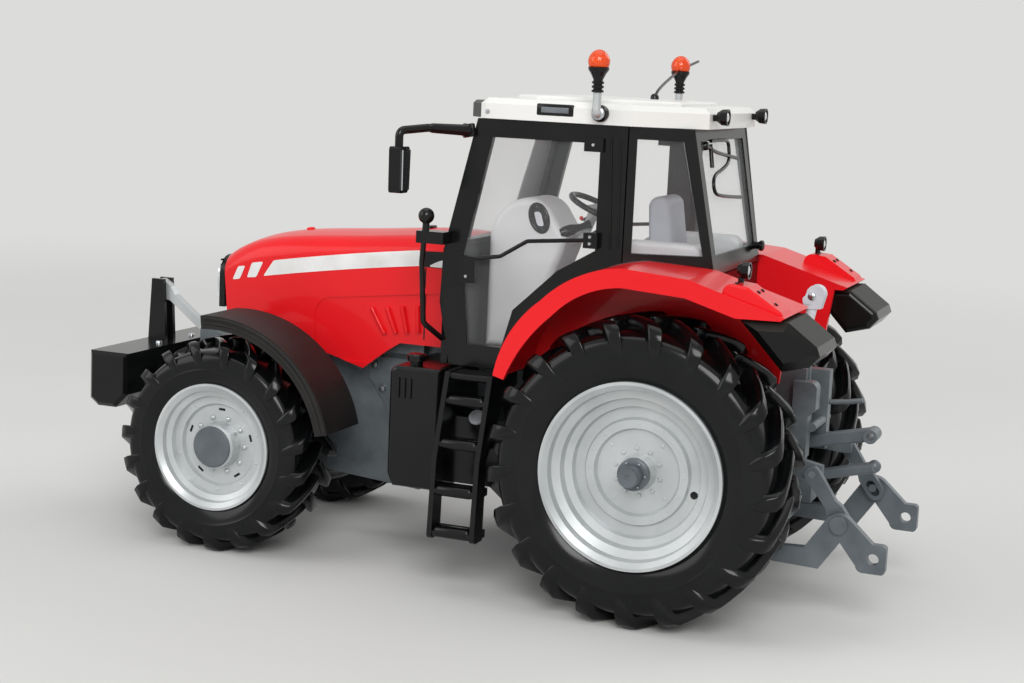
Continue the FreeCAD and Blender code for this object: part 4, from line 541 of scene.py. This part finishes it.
def buildTyre(axle, hand):
    node = f"{axle}_tyre_{hand}"
    body = body_of(frame["nodes"][node])[0]
    x, y, z, radius, width = wheelPlace(node)
    sizes = tyreTable[axle]
    crown = radius - sizes["rise"]
    half = width / 2
    pitch = 2 * math.pi / sizes["lugs"]
    height = crown - sizes["bore"]

    def ring(distance, turn, side):
        return (x + distance * math.sin(turn), y + side, z + distance * math.cos(turn))

    points = []
    faces = []
    steps = sizes["lugs"] * 6
    profile = [(share * half, sizes["bore"] + part * height) for share, part in carcassShape]
    profile = [(-side, distance) for side, distance in reversed(profile[1:])] + profile
    for step in range(steps):
        points += [ring(distance, step * 2 * math.pi / steps, side) for side, distance in profile]
    for step in range(steps):
        near, far = step * len(profile), (step + 1) % steps * len(profile)
        for i in range(len(profile)):
            j = (i + 1) % len(profile)
            faces.append((near + i, near + j, far + j, far + i))
    carcass = addPiece(f"{axle}-tyre-{hand}-carcass", points, faces, body, "tyre")
    subdivide = carcass.modifiers.new("smooth", "SUBSURF")
    subdivide.levels = subdivide.render_levels = 1

    points = []
    faces = []
    for facing, offset in ((1, 0), (-1, 0.5)):
        for lug in range(sizes["lugs"]):
            start = len(points)
            for share, turn, wide, rise, foot in lugStations:
                side = facing * share * half
                top = crown + rise * sizes["rise"]
                base = crown - foot - lugRoot["sunk"]
                root = facing * min(share, lugRoot["reach"]) * half
                middle = lug + offset + turn
                points.append(ring(base, (middle - wide - lugRoot["flare"]) * pitch, root))
                points.append(ring(top, (middle - wide) * pitch, side))
                points.append(ring(top, (middle + wide) * pitch, side))
                points.append(ring(base, (middle + wide + lugRoot["flare"]) * pitch, root))
            for i in range(len(lugStations) - 1):
                near, far = start + 4 * i, start + 4 * i + 4
                faces += [(near + k, near + (k + 1) % 4, far + (k + 1) % 4, far + k) for k in range(4)]
            last = start + 4 * len(lugStations) - 4
            faces += [(start, start + 1, start + 2, start + 3), (last + 3, last + 2, last + 1, last)]
    addPiece(f"{axle}-tyre-{hand}-lugs", points, faces, body, "tyre", bevel=lugRoot["edge"])
    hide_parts(node)


for axle in tyreTable:
    for hand in ("left", "right"):
        buildTyre(axle, hand)
print("tyres made")


# Carried-over nodes take their finish and small rounded edges.
usualEdge = 0.15  # mm
edgeWidths = {
    "bonnet": 0.1, "roof": 0.35, "seat": 1.0, "dash_console": 0.8, "cab_windows": 0.05, "door_glass": 0.05,
    "rear_fenders": 0.3, "front_ballast": 0.3, "side_tanks": 0.5, "cab_consoles": 0.8, "steps": 0.3,
    "fender_extensions": 1.2, "mirrors": 0.45, "hand_rail": 0.3, "lower_link_left": 0.25, "lower_link_right": 0.25,
    "cab_frame": 0.2, "doors": 0.2,
}
nodeFinishes = {
    "front_fender_left": "mudguard", "front_fender_right": "mudguard", "fender_extensions": "extension",
    "seat": "seat", "rear_top_link": "pale",
}
slots = {part["node"]: part["material_slot"] for part in frame["record"]["subparts"]}
for name, node in frame["nodes"].items():
    node.data.materials.clear()
    own = nodeFinishes.get(name)
    node.data.materials.append(ownFinishes[own] if own else finishes[slots[name]])
    if name.endswith("_tyre_left") or name.endswith("_tyre_right"):
        continue
    roundEdges(node, edgeWidths.get(name, usualEdge))
    node.data.polygons.foreach_set("use_smooth", [True] * len(node.data.polygons))
print("nodes finished")


# Screws, hubs and wheel trim. Depths are mm from the tractor's middle plane.
def screwHead(wide, tall=1.0):
    return [(along * tall, radius * wide) for along, radius in ((-0.2, 0.5), (0.2, 0.5), (0.36, 0.38), (0.42, 0.02))]


wheelTrim = {  # profile, depth, radius of their ring, how many, first one's angle, slot, own finish, sides
    "rear": {
        "hub": ([(0, 3.1), (1.05, 3.05), (1.2, 2.85), (1.2, 2.05), (3.9, 2.0), (4.3, 1.75), (4.3, 0.6), (4.15, 0.45),
                 (4.15, 0.02)], 37, 0, 1, 0, "linkage_grey", None, 48),
        "hub-screws": (screwHead(0.45), 38.2, 2.45, 6, 0, "rim_silver", "plated", 12),
        "wheel-nuts": ([(-0.2, 0.45), (0.2, 0.43), (0.4, 0.3), (0.46, 0.02)], 34.7, 4.5, 10, 12, "rim_silver", None,
                       24),
        "disc-bumps": ([(-0.2, 0.4), (0.1, 0.36), (0.2, 0.02)], 34.7, 7.0, 4, 40, "rim_silver", None, 24),
        "disc-pits": ([(-0.2, 0.3), (0.08, 0.27), (0.14, 0.02)], 35.7, 9.2, 16, 0, "rim_silver", None, 12),
    },
    "front": {
        "hub": ([(0, 4.85), (2.9, 4.45), (3.5, 4.33), (3.75, 4.05), (3.75, 0.02)], 28.5, 0, 1, 0, "linkage_grey",
                None, 48),
        "hub-bumps": ([(-0.2, 0.6), (0.25, 0.56), (0.5, 0.34), (0.56, 0.02)], 28.5, 5.8, 10, 0, "rim_silver", None,
                      16),
        "disc-studs": ([(-0.2, 0.3), (0.1, 0.28), (0.22, 0.02)], 29.3, 9.5, 10, 18, "rim_silver", None, 12),
    },
}
# painted shade: a black disc on the rear rim stands in for the shade inside its valve hole
valveHoleShade = {"shape": [(-0.2, 0.75), (0.06, 0.74), (0.1, 0.6), (0.05, 0.5), (0.05, 0.02)], "back": 11.1, "down": 3.1,
             "depth": 34.9}
# painted shade: black slabs on the front discs stand in for the shade inside their ports
discPortShades = {"angles": range(20, 380, 72), "ring": 7.4, "depth": 28.5, "size": (0.5, 0.16, 1.5), "edge": 0.06}


def aroundAxle(x, y, z, radius, count, side, first):
    angles = [math.radians(first) + 2 * math.pi * step / count for step in range(count)]
    return [((x + radius * math.cos(a), side * y, z + radius * math.sin(a)), (0, side, 0)) for a in angles]


def trimWheels(hand, side):
    for axle, trims in wheelTrim.items():
        x, _, z = wheelPlace(f"{axle}_tyre_{hand}")[:3]
        body = f"{axle}_wheel_{hand}"
        for name, (profile, depth, radius, count, first, slot, own, sides) in trims.items():
            places = aroundAxle(x, depth, z, radius, count, side, first)
            addTurned(f"{axle}-{name}-{hand}", profile, places, body, slot, own, sides)
        if axle == "rear":
            # painted shade: a black disc where the valve hole is
            hole = (x - valveHoleShade["back"], side * valveHoleShade["depth"], z - valveHoleShade["down"])
            addTurned(f"rear-valve-hole-{hand}", valveHoleShade["shape"], [(hole, (0, side, 0))], body, "black_plastic")
        else:
            # painted shade: black slabs where the disc's ports are
            portShades = []
            for angle in discPortShades["angles"]:
                across = x + discPortShades["ring"] * math.cos(math.radians(angle))
                height = z + discPortShades["ring"] * math.sin(math.radians(angle))
                portShades.append(((across, side * discPortShades["depth"], height), discPortShades["size"], -angle))
            addBlocks(f"front-disc-ports-{hand}", portShades, body, "black_plastic", discPortShades["edge"])


# Print, vents and seams of the bonnet, laid on its skin.
bonnetPrint = {  # top line and bottom line in (x, z), corner radius, slot, own finish
    "first-dash": ([(99.5, 57.6), (97.6, 57.9)], [(100.9, 54.6), (99.0, 54.9)], 0.4, "roof_white", "print"),
    "second-dash": ([(95.9, 58.7), (93.0, 59.2)], [(97.1, 55.4), (94.7, 55.7)], 0.4, "roof_white", "print"),
    "band": ([(90.4, 59.7), (74.1, 62.3), (56.0, 64.6)], [(92.9, 56.1), (73.9, 59.1), (55.7, 61.4)], 0.4,
             "roof_white", "print"),
    "tail": ([(55.2, 64.5), (49.5, 64.7)], [(54.9, 61.3), (49.5, 61.2)], 0.3, "black_plastic", None),
    "rear-seam": ([(54.75, 61.2), (54.45, 61.2)], [(54.75, 46), (54.45, 46)], 0.1, "black_plastic", None),
}
tailArc = {"top": [(53.6, 61.7), (51.6, 62.7), (49.6, 63.2)], "bottom": [(53.6, 61.4), (51.6, 61.4), (49.6, 61.4)],
           "corner": 0.12, "lift": 0.09}
louvres = {"count": 4, "first": ((56.1, 53.0), (55.8, 47.4)), "steps": ((3.5, -0.45), (2.55, -0.3)), "rise": 0.1,
           "radius": 0.46}
bonnetTop = {"above": 90, "nubX": 88.1, "nub": [(-0.3, 1.0), (0.25, 0.95), (0.45, 0.6), (0.5, 0.02)],
             "ventX": 59.6, "vent": (1.8, 3.4, 0.7), "ventRise": 0.2, "ventTurn": 2, "ventEdge": 0.25}
grille = {"x": 105.0, "lowest": 49.2, "pitch": 1.15, "count": 9, "slat": (0.5, 18.4, 0.4), "edge": 0.12}


def trimBonnet():
    skin = skinOf("bonnet")
    for hand, side in hands:
        for name, (top, bottom, corner, slot, own) in bonnetPrint.items():
            addPrint(f"bonnet-{name}-{hand}", skin, top, bottom, side, slot, own, corner)
        addPrint(f"bonnet-tail-arc-{hand}", skin, tailArc["top"], tailArc["bottom"], side, "roof_white", "print",
                 tailArc["corner"], tailArc["lift"])
        for number in range(louvres["count"]):
            high, low = [onSide(skin, x + number * ahead, z + number * up, side)[0]
                         for (x, z), (ahead, up) in zip(louvres["first"], louvres["steps"])]
            middle = (Vector(high) + Vector(low)) / 2 + Vector((0, side * louvres["rise"], 0))
            addWire(f"bonnet-louvre-{number + 1}-{hand}", [high, tuple(middle), low], louvres["radius"], "tractor",
                    "body_red")
    spot, normal = meet(skin, (bonnetTop["nubX"], 0, bonnetTop["above"]), (0, 0, -1))
    addTurned("bonnet-nub", bonnetTop["nub"], [(spot, normal)], "tractor", "body_red")
    spot, normal = meet(skin, (bonnetTop["ventX"], 0, bonnetTop["above"]), (0, 0, -1))
    vent = ((spot[0], 0, spot[2] + bonnetTop["ventRise"]), bonnetTop["vent"], bonnetTop["ventTurn"])
    addBlocks("bonnet-vent", [vent], "tractor", "black_plastic", bonnetTop["ventEdge"])
    slats = [((grille["x"], 0, grille["lowest"] + grille["pitch"] * row), grille["slat"], 0)
             for row in range(grille["count"])]
    addBlocks("grille-slats", slats, "tractor", "black_plastic", grille["edge"])


# Lamps, beacons and what else the roof carries.
beacon = {  # neck and dome: height and radius; foot and ring: distance from the middle plane and radius
    "neck": [(98.8, 0.8), (98.9, 1.15), (99.3, 1.15), (99.4, 0.85), (99.6, 0.85), (99.7, 1.15), (100.1, 1.15),
             (100.2, 0.85), (100.4, 0.85), (100.5, 1.15), (100.9, 1.15), (101.0, 0.9), (101.3, 0.95), (102.4, 1.5),
             (103.0, 1.95), (103.5, 2.0), (103.6, 1.85)],
    "dome": [(103.5, 1.7), (103.6, 1.86), (104.0, 2.0), (104.6, 2.09), (105.1, 2.04), (105.6, 1.85), (106.1, 1.52),
             (106.5, 1.1), (106.78, 0.55), (106.86, 0.02)],
    "foot": [(24.6, 1.62), (25.6, 1.62), (26.3, 1.2), (26.3, 0.6)],
    "ring": [(25.95, 1.0), (26.2, 1.25), (26.6, 1.25), (26.8, 1.0), (26.8, 0.6)],
    "stem": [(24.65, 94.7), (26.4, 94.7), (27.5, 95.0), (27.4, 96.6), (27.4, 99.0)],
    "stemRadius": 0.8, "x": 14.4, "reach": 27.4, "footHeight": 94.9, "sides": 36,
}
roofInsert = {  # centre, size, rounding
    "insert": ((23.7, 24.4, 95.05), (7.6, 0.7, 2.3), "black_plastic", 0.3),
    "insert-panel": ((23.7, 24.72, 95.05), (5.6, 0.14, 1.1), "casting_grey", 0.06),
}
mirrorArm = {
    "sleeve": [(0, 1.2), (1.6, 1.35), (2.0, 1.1), (9.8, 0.95), (10.4, 0.82)],
    "foot": (41.2, 24.1, 90.2), "along": (4.8, 9.9, 0.4),
    "bracket": (41.4, 24.6, 90.2), "bracketSize": (2.6, 1.3, 2.6), "bracketTurn": 12, "bracketEdge": 0.3,
}
workLamps = {"places": ((-5.8, 15.2, 95.2), (-16.2, 33.2, 68.4)),
             "lens": [(1.8, 1.0), (1.95, 0.96), (2.1, 0.75), (2.2, 0.35), (2.22, 0.02)]}
aerial = {
    "line": [(14, -8.2, 97.5), (14, -8.4, 98.8), (14.1, -16, 101.3), (14.2, -28, 104.2), (14.3, -40.6, 105.9)],
    "radius": 0.3, "foot": [(97.4, 0.9), (98.3, 0.85), (98.7, 0.5), (98.8, 0.02)],
}
visorScrew = {"place": (37.6, 24.6, 94.1), "head": screwHead(0.9)}


def trimRoof():
    stands = [((beacon["x"], side * beacon["reach"], 0), (0, 0, 1)) for _, side in hands]
    feet = [((beacon["x"], 0, beacon["footHeight"]), (0, side, 0)) for _, side in hands]
    necks = addTurned("beacon-necks", beacon["neck"], stands, "tractor", "black_plastic", sides=beacon["sides"])
    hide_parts("beacon_stems")
    domes = addTurned("beacon-domes", beacon["dome"], stands, "tractor", "beacon_orange", sides=beacon["sides"])
    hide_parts("beacon_lenses")
    addTurned("beacon-feet", beacon["foot"], feet, "tractor", "black_plastic")
    addTurned("beacon-rings", beacon["ring"], feet, "tractor", "rim_silver", "plated")
    for hand, side in hands:
        stem = [(beacon["x"], side * y, z) for y, z in beacon["stem"]]
        addWire(f"beacon-stem-{hand}", stem, beacon["stemRadius"], "tractor", "rim_silver")
        screw = (handed(visorScrew["place"], side), (0, side, 0))
        addTurned(f"visor-screw-{hand}", visorScrew["head"], [screw], "tractor", "rim_silver", "plated")
        for name, (centre, size, slot, edge) in roofInsert.items():
            addBlocks(f"roof-{name}-{hand}", [(handed(centre, side), size, 0)], "tractor", slot, edge)
        sleeve = (handed(mirrorArm["foot"], side), handed(mirrorArm["along"], side))
        addTurned(f"mirror-sleeve-{hand}", mirrorArm["sleeve"], [sleeve], "tractor", "black_plastic")
        bracket = (handed(mirrorArm["bracket"], side), mirrorArm["bracketSize"], mirrorArm["bracketTurn"])
        addBlocks(f"mirror-bracket-{hand}", [bracket], "tractor", "black_plastic", mirrorArm["bracketEdge"])
    lenses = [(handed(spot, side), (-1, 0, 0)) for spot in workLamps["places"] for _, side in hands]
    addTurned("work-lamp-lenses", workLamps["lens"], lenses, "tractor", "lamp_clear")
    addWire("roof-aerial", aerial["line"], aerial["radius"], "tractor", "black_plastic")
    x, y, _ = aerial["line"][0]
    addTurned("roof-aerial-foot", aerial["foot"], [((x, y, 0), (0, 0, 1))], "tractor", "black_plastic")


# Small fittings of the cab, outside and in.
doorTrim = {
    "ribs": (((12.2, 90.6), (11.4, 69.2)), ((10.4, 90.4), (9.8, 69.6))),  # upper and lower end in (x, z)
    "ribPoints": 6, "ribRadius": 0.24,
    "rivets": ((15.5, 24.8, 88.9), (15.0, 25.5, 71.4), (15.0, 25.5, 70.1), (40.4, 25.3, 61.7)),
    "rivet": screwHead(0.75),
}
rearWindow = {"behind": -40, "wireRise": 0.5}  # where rays start, and the wires' middle off the glass
rearWires = {  # (y, z) points on the rear window, radius
    "wiper-arm": ([(12.7, 89.5), (8.0, 88.3), (-0.5, 87.4), (-9.1, 86.6)], 0.38),
    "wiper-blade": ([(10.2, 89.8), (10.3, 87.6), (10.9, 85.4)], 0.42),
    "window-loop": ([(9.6, 90.4), (2.0, 90.5), (-3.7, 90.2), (-3.2, 87.6), (-1.8, 85.8), (4.4, 84.6), (9.2, 84.0),
                     (11.4, 82.6), (11.2, 80.4), (7.0, 79.8), (-1.0, 79.2), (-8.3, 78.8)], 0.36),
}
rearKnobs = {  # place in (y, z), direction, profile
    "wiper-pivot": ((12.7, 89.5), (-1, 0, 0.15), [(-0.6, 0.9), (0.5, 0.85), (0.8, 0.6), (0.85, 0.02)]),
    "window-knob": ((-15.2, 68.6), (-1, 0, 0), [(-0.4, 0.8), (0.9, 0.75), (1.3, 1.1), (1.9, 1.1), (2.1, 0.7),
                                                (2.15, 0.02)]),
}
consoleRing = {"x": 32.6, "z": 72.6, "halfLength": 1.9, "halfHeight": 2.8, "lean": 0.7, "radius": 0.42, "points": 16}
consolePrint = {  # top line and bottom line in (x, z), slot, own finish, corner radius, lift
    "dial": ([(34.7, 74.9), (31.9, 74.9)], [(33.3, 70.3), (30.5, 70.3)], "black_plastic", None, 1.3, 0.05),
    "dial-face": ([(33.8, 73.9), (32.3, 73.9)], [(32.9, 71.0), (31.4, 71.0)], "rim_silver", "pale", 0.6, 0.12),
}
column = {
    "stalk": [(25.4, 0.4, 72.4), (25.0, 1.8, 72.9), (24.6, 3.2, 73.0)], "stalkRadius": 0.28,
    "bootPlace": ((27.8, 5.4, 69.9), (-0.72, -0.62, 0.3)),
    "boot": [(-0.6, 0.8), (0.5, 1.15), (2.0, 1.15), (3.4, 0.8), (4.6, 0.65), (6.2, 0.9), (6.3, 0.02)],
    "knobPlace": ((24.6, 3.3, 73.0), (0, 1, 0)),
    "knob": [(-0.3, 0.02), (-0.2, 0.35), (0, 0.45), (0.25, 0.35), (0.35, 0.02)],
}


def trimCab():
    posts = skinOf("cab_frame", "doors")
    for hand, side in hands:
        for number, (high, low) in enumerate(doorTrim["ribs"]):
            line = []
            for step in range(doorTrim["ribPoints"]):
                x, z = [top + (foot - top) * step / (doorTrim["ribPoints"] - 1) for top, foot in zip(high, low)]
                line.append(onSide(posts, x, z, side)[0])
            addWire(f"door-post-rib-{number + 1}-{hand}", line, doorTrim["ribRadius"], "tractor", "black_plastic")
        rivets = [(handed(spot, side), (0, side, 0)) for spot in doorTrim["rivets"]]
        addTurned(f"door-rivets-{hand}", doorTrim["rivet"], rivets, "tractor", "rim_silver", "plated", 16)

    rear = skinOf("cab_frame", "cab_windows")

    def onRear(y, z, out):
        spot = meet(rear, (rearWindow["behind"], y, z), (1, 0, 0))[0]
        return (spot[0] - out, y, z)

    for name, (line, radius) in rearWires.items():
        points = [onRear(y, z, rearWindow["wireRise"]) for y, z in line]
        addWire(f"rear-{name}", points, radius, "tractor", "black_plastic")
    for name, ((y, z), direction, profile) in rearKnobs.items():
        addTurned(f"rear-{name}", profile, [(onRear(y, z, 0), direction)], "tractor", "black_plastic")

    console = skinOf("dash_console")
    for hand, side in hands:
        ring = []
        for step in range(consoleRing["points"]):
            angle = 2 * math.pi * step / consoleRing["points"]
            x = consoleRing["x"] + consoleRing["halfLength"] * math.cos(angle) + consoleRing["lean"] * math.sin(angle)
            z = consoleRing["z"] + consoleRing["halfHeight"] * math.sin(angle)
            ring.append(onSide(console, x, z, side)[0])
        addWire(f"console-ring-{hand}", ring, consoleRing["radius"], "tractor", "black_plastic", closed=True)
        for name, (top, bottom, slot, own, corner, lift) in consolePrint.items():
            addPrint(f"console-{name}-{hand}", console, top, bottom, side, slot, own, corner, lift)
    for hand, side in hands:
        stalk = [handed(spot, side) for spot in column["stalk"]]
        addWire(f"column-stalk-{hand}", stalk, column["stalkRadius"], "tractor", "black_plastic")
    addTurned("column-boot", column["boot"], [column["bootPlace"]], "tractor", "black_plastic")
    addTurned("column-knob", column["knob"], [column["knobPlace"]], "tractor", "body_red", sides=16)


# Screws and caps on the castings, tanks, fenders and linkages.
castingScrews = {"depth": 7.2, "places": ((61.4, 38.8), (68, 38.8), (66.1, 33.8)), "head": screwHead(1.6, 1.7)}
battery = {
    "foot": (37.3, 21.9, 31.0), "along": (-0.1, 0.75, 0.65),
    "spout": [(0, 1.3), (3.6, 1.3), (3.7, 1.5), (4.0, 1.5), (4.05, 1.3)],
    "cap": [(4.0, 1.62), (4.4, 1.62), (4.65, 1.4), (4.65, 0.8), (4.5, 0.65), (4.5, 0.02)],
}
stepPads = {  # treads: height and outer edge
    "treads": ((38.6, 32.9), (30.4, 35.5), (21.4, 36.9), (13.3, 37.3)), "x": 36.4, "size": (7.8, 2.8, 2.1),
    "below": 0.6, "edge": 0.7,
}
fenderStuds = {"above": 80, "places": ((-16.8, 35.6), (-20.8, 35.4), (-24.0, 35.0), (-20.8, 32.4)),
               "shape": [(-0.2, 0.42), (0.1, 0.42), (0.24, 0.3), (0.3, 0.02)]}
mudguardLips = {"x": 93, "z": 22.2, "depth": 32.75, "radii": (27.0, 26.0), "angles": range(86, 168, 9), "wire": 0.32}
ballastScrew = {"place": (121.9, 6.9, 38.0), "head": screwHead(1.4, 1.5)}
topLinkPin = {"place": ((-24.2, 5.1, 61.4), (0, 1, 0)),
              "shape": [(-0.5, 0.6), (-0.35, 0.75), (0.1, 0.75), (0.25, 0.55), (0.25, 0.02)]}


def trimSides():
    fenders = skinOf("rear_fenders")
    for hand, side in hands:
        screws = [((x, side * castingScrews["depth"], z), (0, side, 0)) for x, z in castingScrews["places"]]
        addTurned(f"casting-screws-{hand}", castingScrews["head"], screws, "tractor", "rim_silver", "plated")
        spout = (handed(battery["foot"], side), handed(battery["along"], side))
        addTurned(f"battery-spout-{hand}", battery["spout"], [spout], "tractor", "black_plastic")
        addTurned(f"battery-cap-{hand}", battery["cap"], [spout], "tractor", "rim_silver", "pale")
        pads = [((stepPads["x"], side * (edge - stepPads["size"][1] / 2), height - stepPads["below"]),
                 stepPads["size"], 0) for height, edge in stepPads["treads"]]
        addBlocks(f"step-pads-{hand}", pads, "tractor", "black_plastic", stepPads["edge"])
        studs = [meet(fenders, (x, side * y, fenderStuds["above"]), (0, 0, -1)) for x, y in fenderStuds["places"]]
        addTurned(f"fender-studs-{hand}", fenderStuds["shape"], studs, "tractor", "black_plastic", sides=16)
    for hand, side in hands:
        for number, radius in enumerate(mudguardLips["radii"]):
            arc = [(mudguardLips["x"] + radius * math.cos(math.radians(angle)), side * mudguardLips["depth"],
                    mudguardLips["z"] + radius * math.sin(math.radians(angle))) for angle in mudguardLips["angles"]]
            addWire(f"front-fender-lip-{number + 1}-{hand}", arc, mudguardLips["wire"], f"steering_{hand}",
                    "black_plastic", "mudguard")
    screws = [(handed(ballastScrew["place"], side), (0, 0, 1)) for _, side in hands]
    addTurned("ballast-screws", ballastScrew["head"], screws, "front_ballast", "rim_silver", "plated")
    addTurned("top-link-pin", topLinkPin["shape"], [topLinkPin["place"]], "rear_top_link", "rim_silver", "plated")


for hand, side in hands:
    trimWheels(hand, side)
trimBonnet()
trimRoof()
trimCab()
trimSides()


# Studio: pale floor, soft lamps, the photograph's camera.
cameraFit = {"focal": 1805, "frame": 1024, "place": (-95.5, 351.7, 102.9), "yaw": 21.04, "pitch": -8.65, "roll": 2.67}


def buildCamera():
    yaw, pitch, roll = (math.radians(cameraFit[key]) for key in ("yaw", "pitch", "roll"))
    ahead = Vector((math.sin(yaw) * math.cos(pitch), -math.cos(yaw) * math.cos(pitch), math.sin(pitch)))
    right = ahead.cross(Vector((0, 0, 1))).normalized()
    up = right.cross(ahead)
    across = right * math.cos(roll) + up * math.sin(roll)
    upward = up * math.cos(roll) - right * math.sin(roll)
    data = bpy.data.cameras.new("camera")
    data.lens = cameraFit["focal"] / cameraFit["frame"] * data.sensor_width  # focal length and frame in pixels
    data.clip_start = 0.01
    camera = bpy.data.objects.new("camera", data)
    bpy.context.scene.collection.objects.link(camera)
    turn = Matrix((across, upward, -ahead)).transposed().to_4x4()
    camera.matrix_world = Matrix.Translation(world(*cameraFit["place"])) @ turn
    bpy.context.scene.camera = camera


paper = {"hex": ("#d8d8d6", "#dededc"), "patch": 200, "rough": (0.7, 0.8), "half": 3, "near": 0.22, "far": 0.7}
backdrop = "#dcdcda"
daylight = 0.5
lamps = {  # place in m, size in m, watts
    "key": ((-0.35, 0.85, 0.6), 0.5, 6.3),
    "fill": ((0.8, 0.6, 0.5), 0.7, 2.6),
    "top": ((0.0, 0.0, 1.0), 0.8, 2.0),
    "rim": ((-0.5, -0.7, 0.6), 0.6, 2.2),
}


def buildFloor():
    # Lit paper under the tractor that fades into the backdrop's own colour, so that no horizon shows.
    half = paper["half"]
    mesh = bpy.data.meshes.new("floor")
    mesh.from_pydata([(-half, -half, 0), (half, -half, 0), (half, half, 0), (-half, half, 0)], [], [(0, 1, 2, 3)])
    floor = bpy.data.objects.new("floor", mesh)
    bpy.context.scene.collection.objects.link(floor)
    material, tree, place, surface = startMaterial("matt backdrop paper", {"IOR": 1.4, "Specular IOR Level": 0.2})
    addVariation(tree, place, surface, paper)
    distance = addNode(tree, "ShaderNodeVectorMath", {"operation": "LENGTH"}, {"Vector": place})
    fade = addNode(tree, "ShaderNodeMapRange", {"interpolation_type": "SMOOTHSTEP", "From Min": paper["near"],
                                                "From Max": paper["far"]}, {"Value": distance.outputs["Value"]})
    glow = addNode(tree, "ShaderNodeEmission", {"Color": hexLinear(backdrop)})
    blend = addNode(tree, "ShaderNodeMixShader", None, {
        "Fac": fade.outputs["Result"], 1: surface.outputs["BSDF"], 2: glow.outputs["Emission"]})
    tree.links.new(blend.outputs["Shader"], tree.nodes["Material Output"].inputs["Surface"])
    mesh.materials.append(material)


def buildLight():
    # The world lights with daylight, but the camera, metal and glass see the backdrop's colour in it.
    sky = bpy.data.worlds.new("studio")
    bpy.context.scene.world = sky
    sky.use_nodes = True
    tree = sky.node_tree
    tree.nodes.clear()
    path = addNode(tree, "ShaderNodeLightPath")
    lighting = addNode(tree, "ShaderNodeBackground", {"Strength": daylight})
    seen = addNode(tree, "ShaderNodeBackground", {"Color": hexLinear(backdrop)})
    rays = path.outputs["Is Camera Ray"]
    for kind in ("Is Glossy Ray", "Is Transmission Ray"):
        either = addNode(tree, "ShaderNodeMath", {"operation": "MAXIMUM"}, {0: rays, 1: path.outputs[kind]})
        rays = either.outputs["Value"]
    choice = addNode(tree, "ShaderNodeMixShader", None, {
        "Fac": rays, 1: lighting.outputs["Background"], 2: seen.outputs["Background"]})
    addNode(tree, "ShaderNodeOutputWorld", None, {"Surface": choice.outputs["Shader"]})

    aim = Vector((0, 0, 0.04))
    for name, (place, size, power) in lamps.items():
        data = bpy.data.lights.new(name, "AREA")
        data.size = size
        data.energy = power
        lamp = bpy.data.objects.new(name, data)
        lamp.location = place
        lamp.rotation_mode = "QUATERNION"
        lamp.rotation_quaternion = (aim - Vector(place)).to_track_quat("-Z", "Y")
        bpy.context.scene.collection.objects.link(lamp)


buildCamera()
buildFloor()
buildLight()
bpy.context.scene.view_settings.view_transform = "Standard"
print("studio ready")
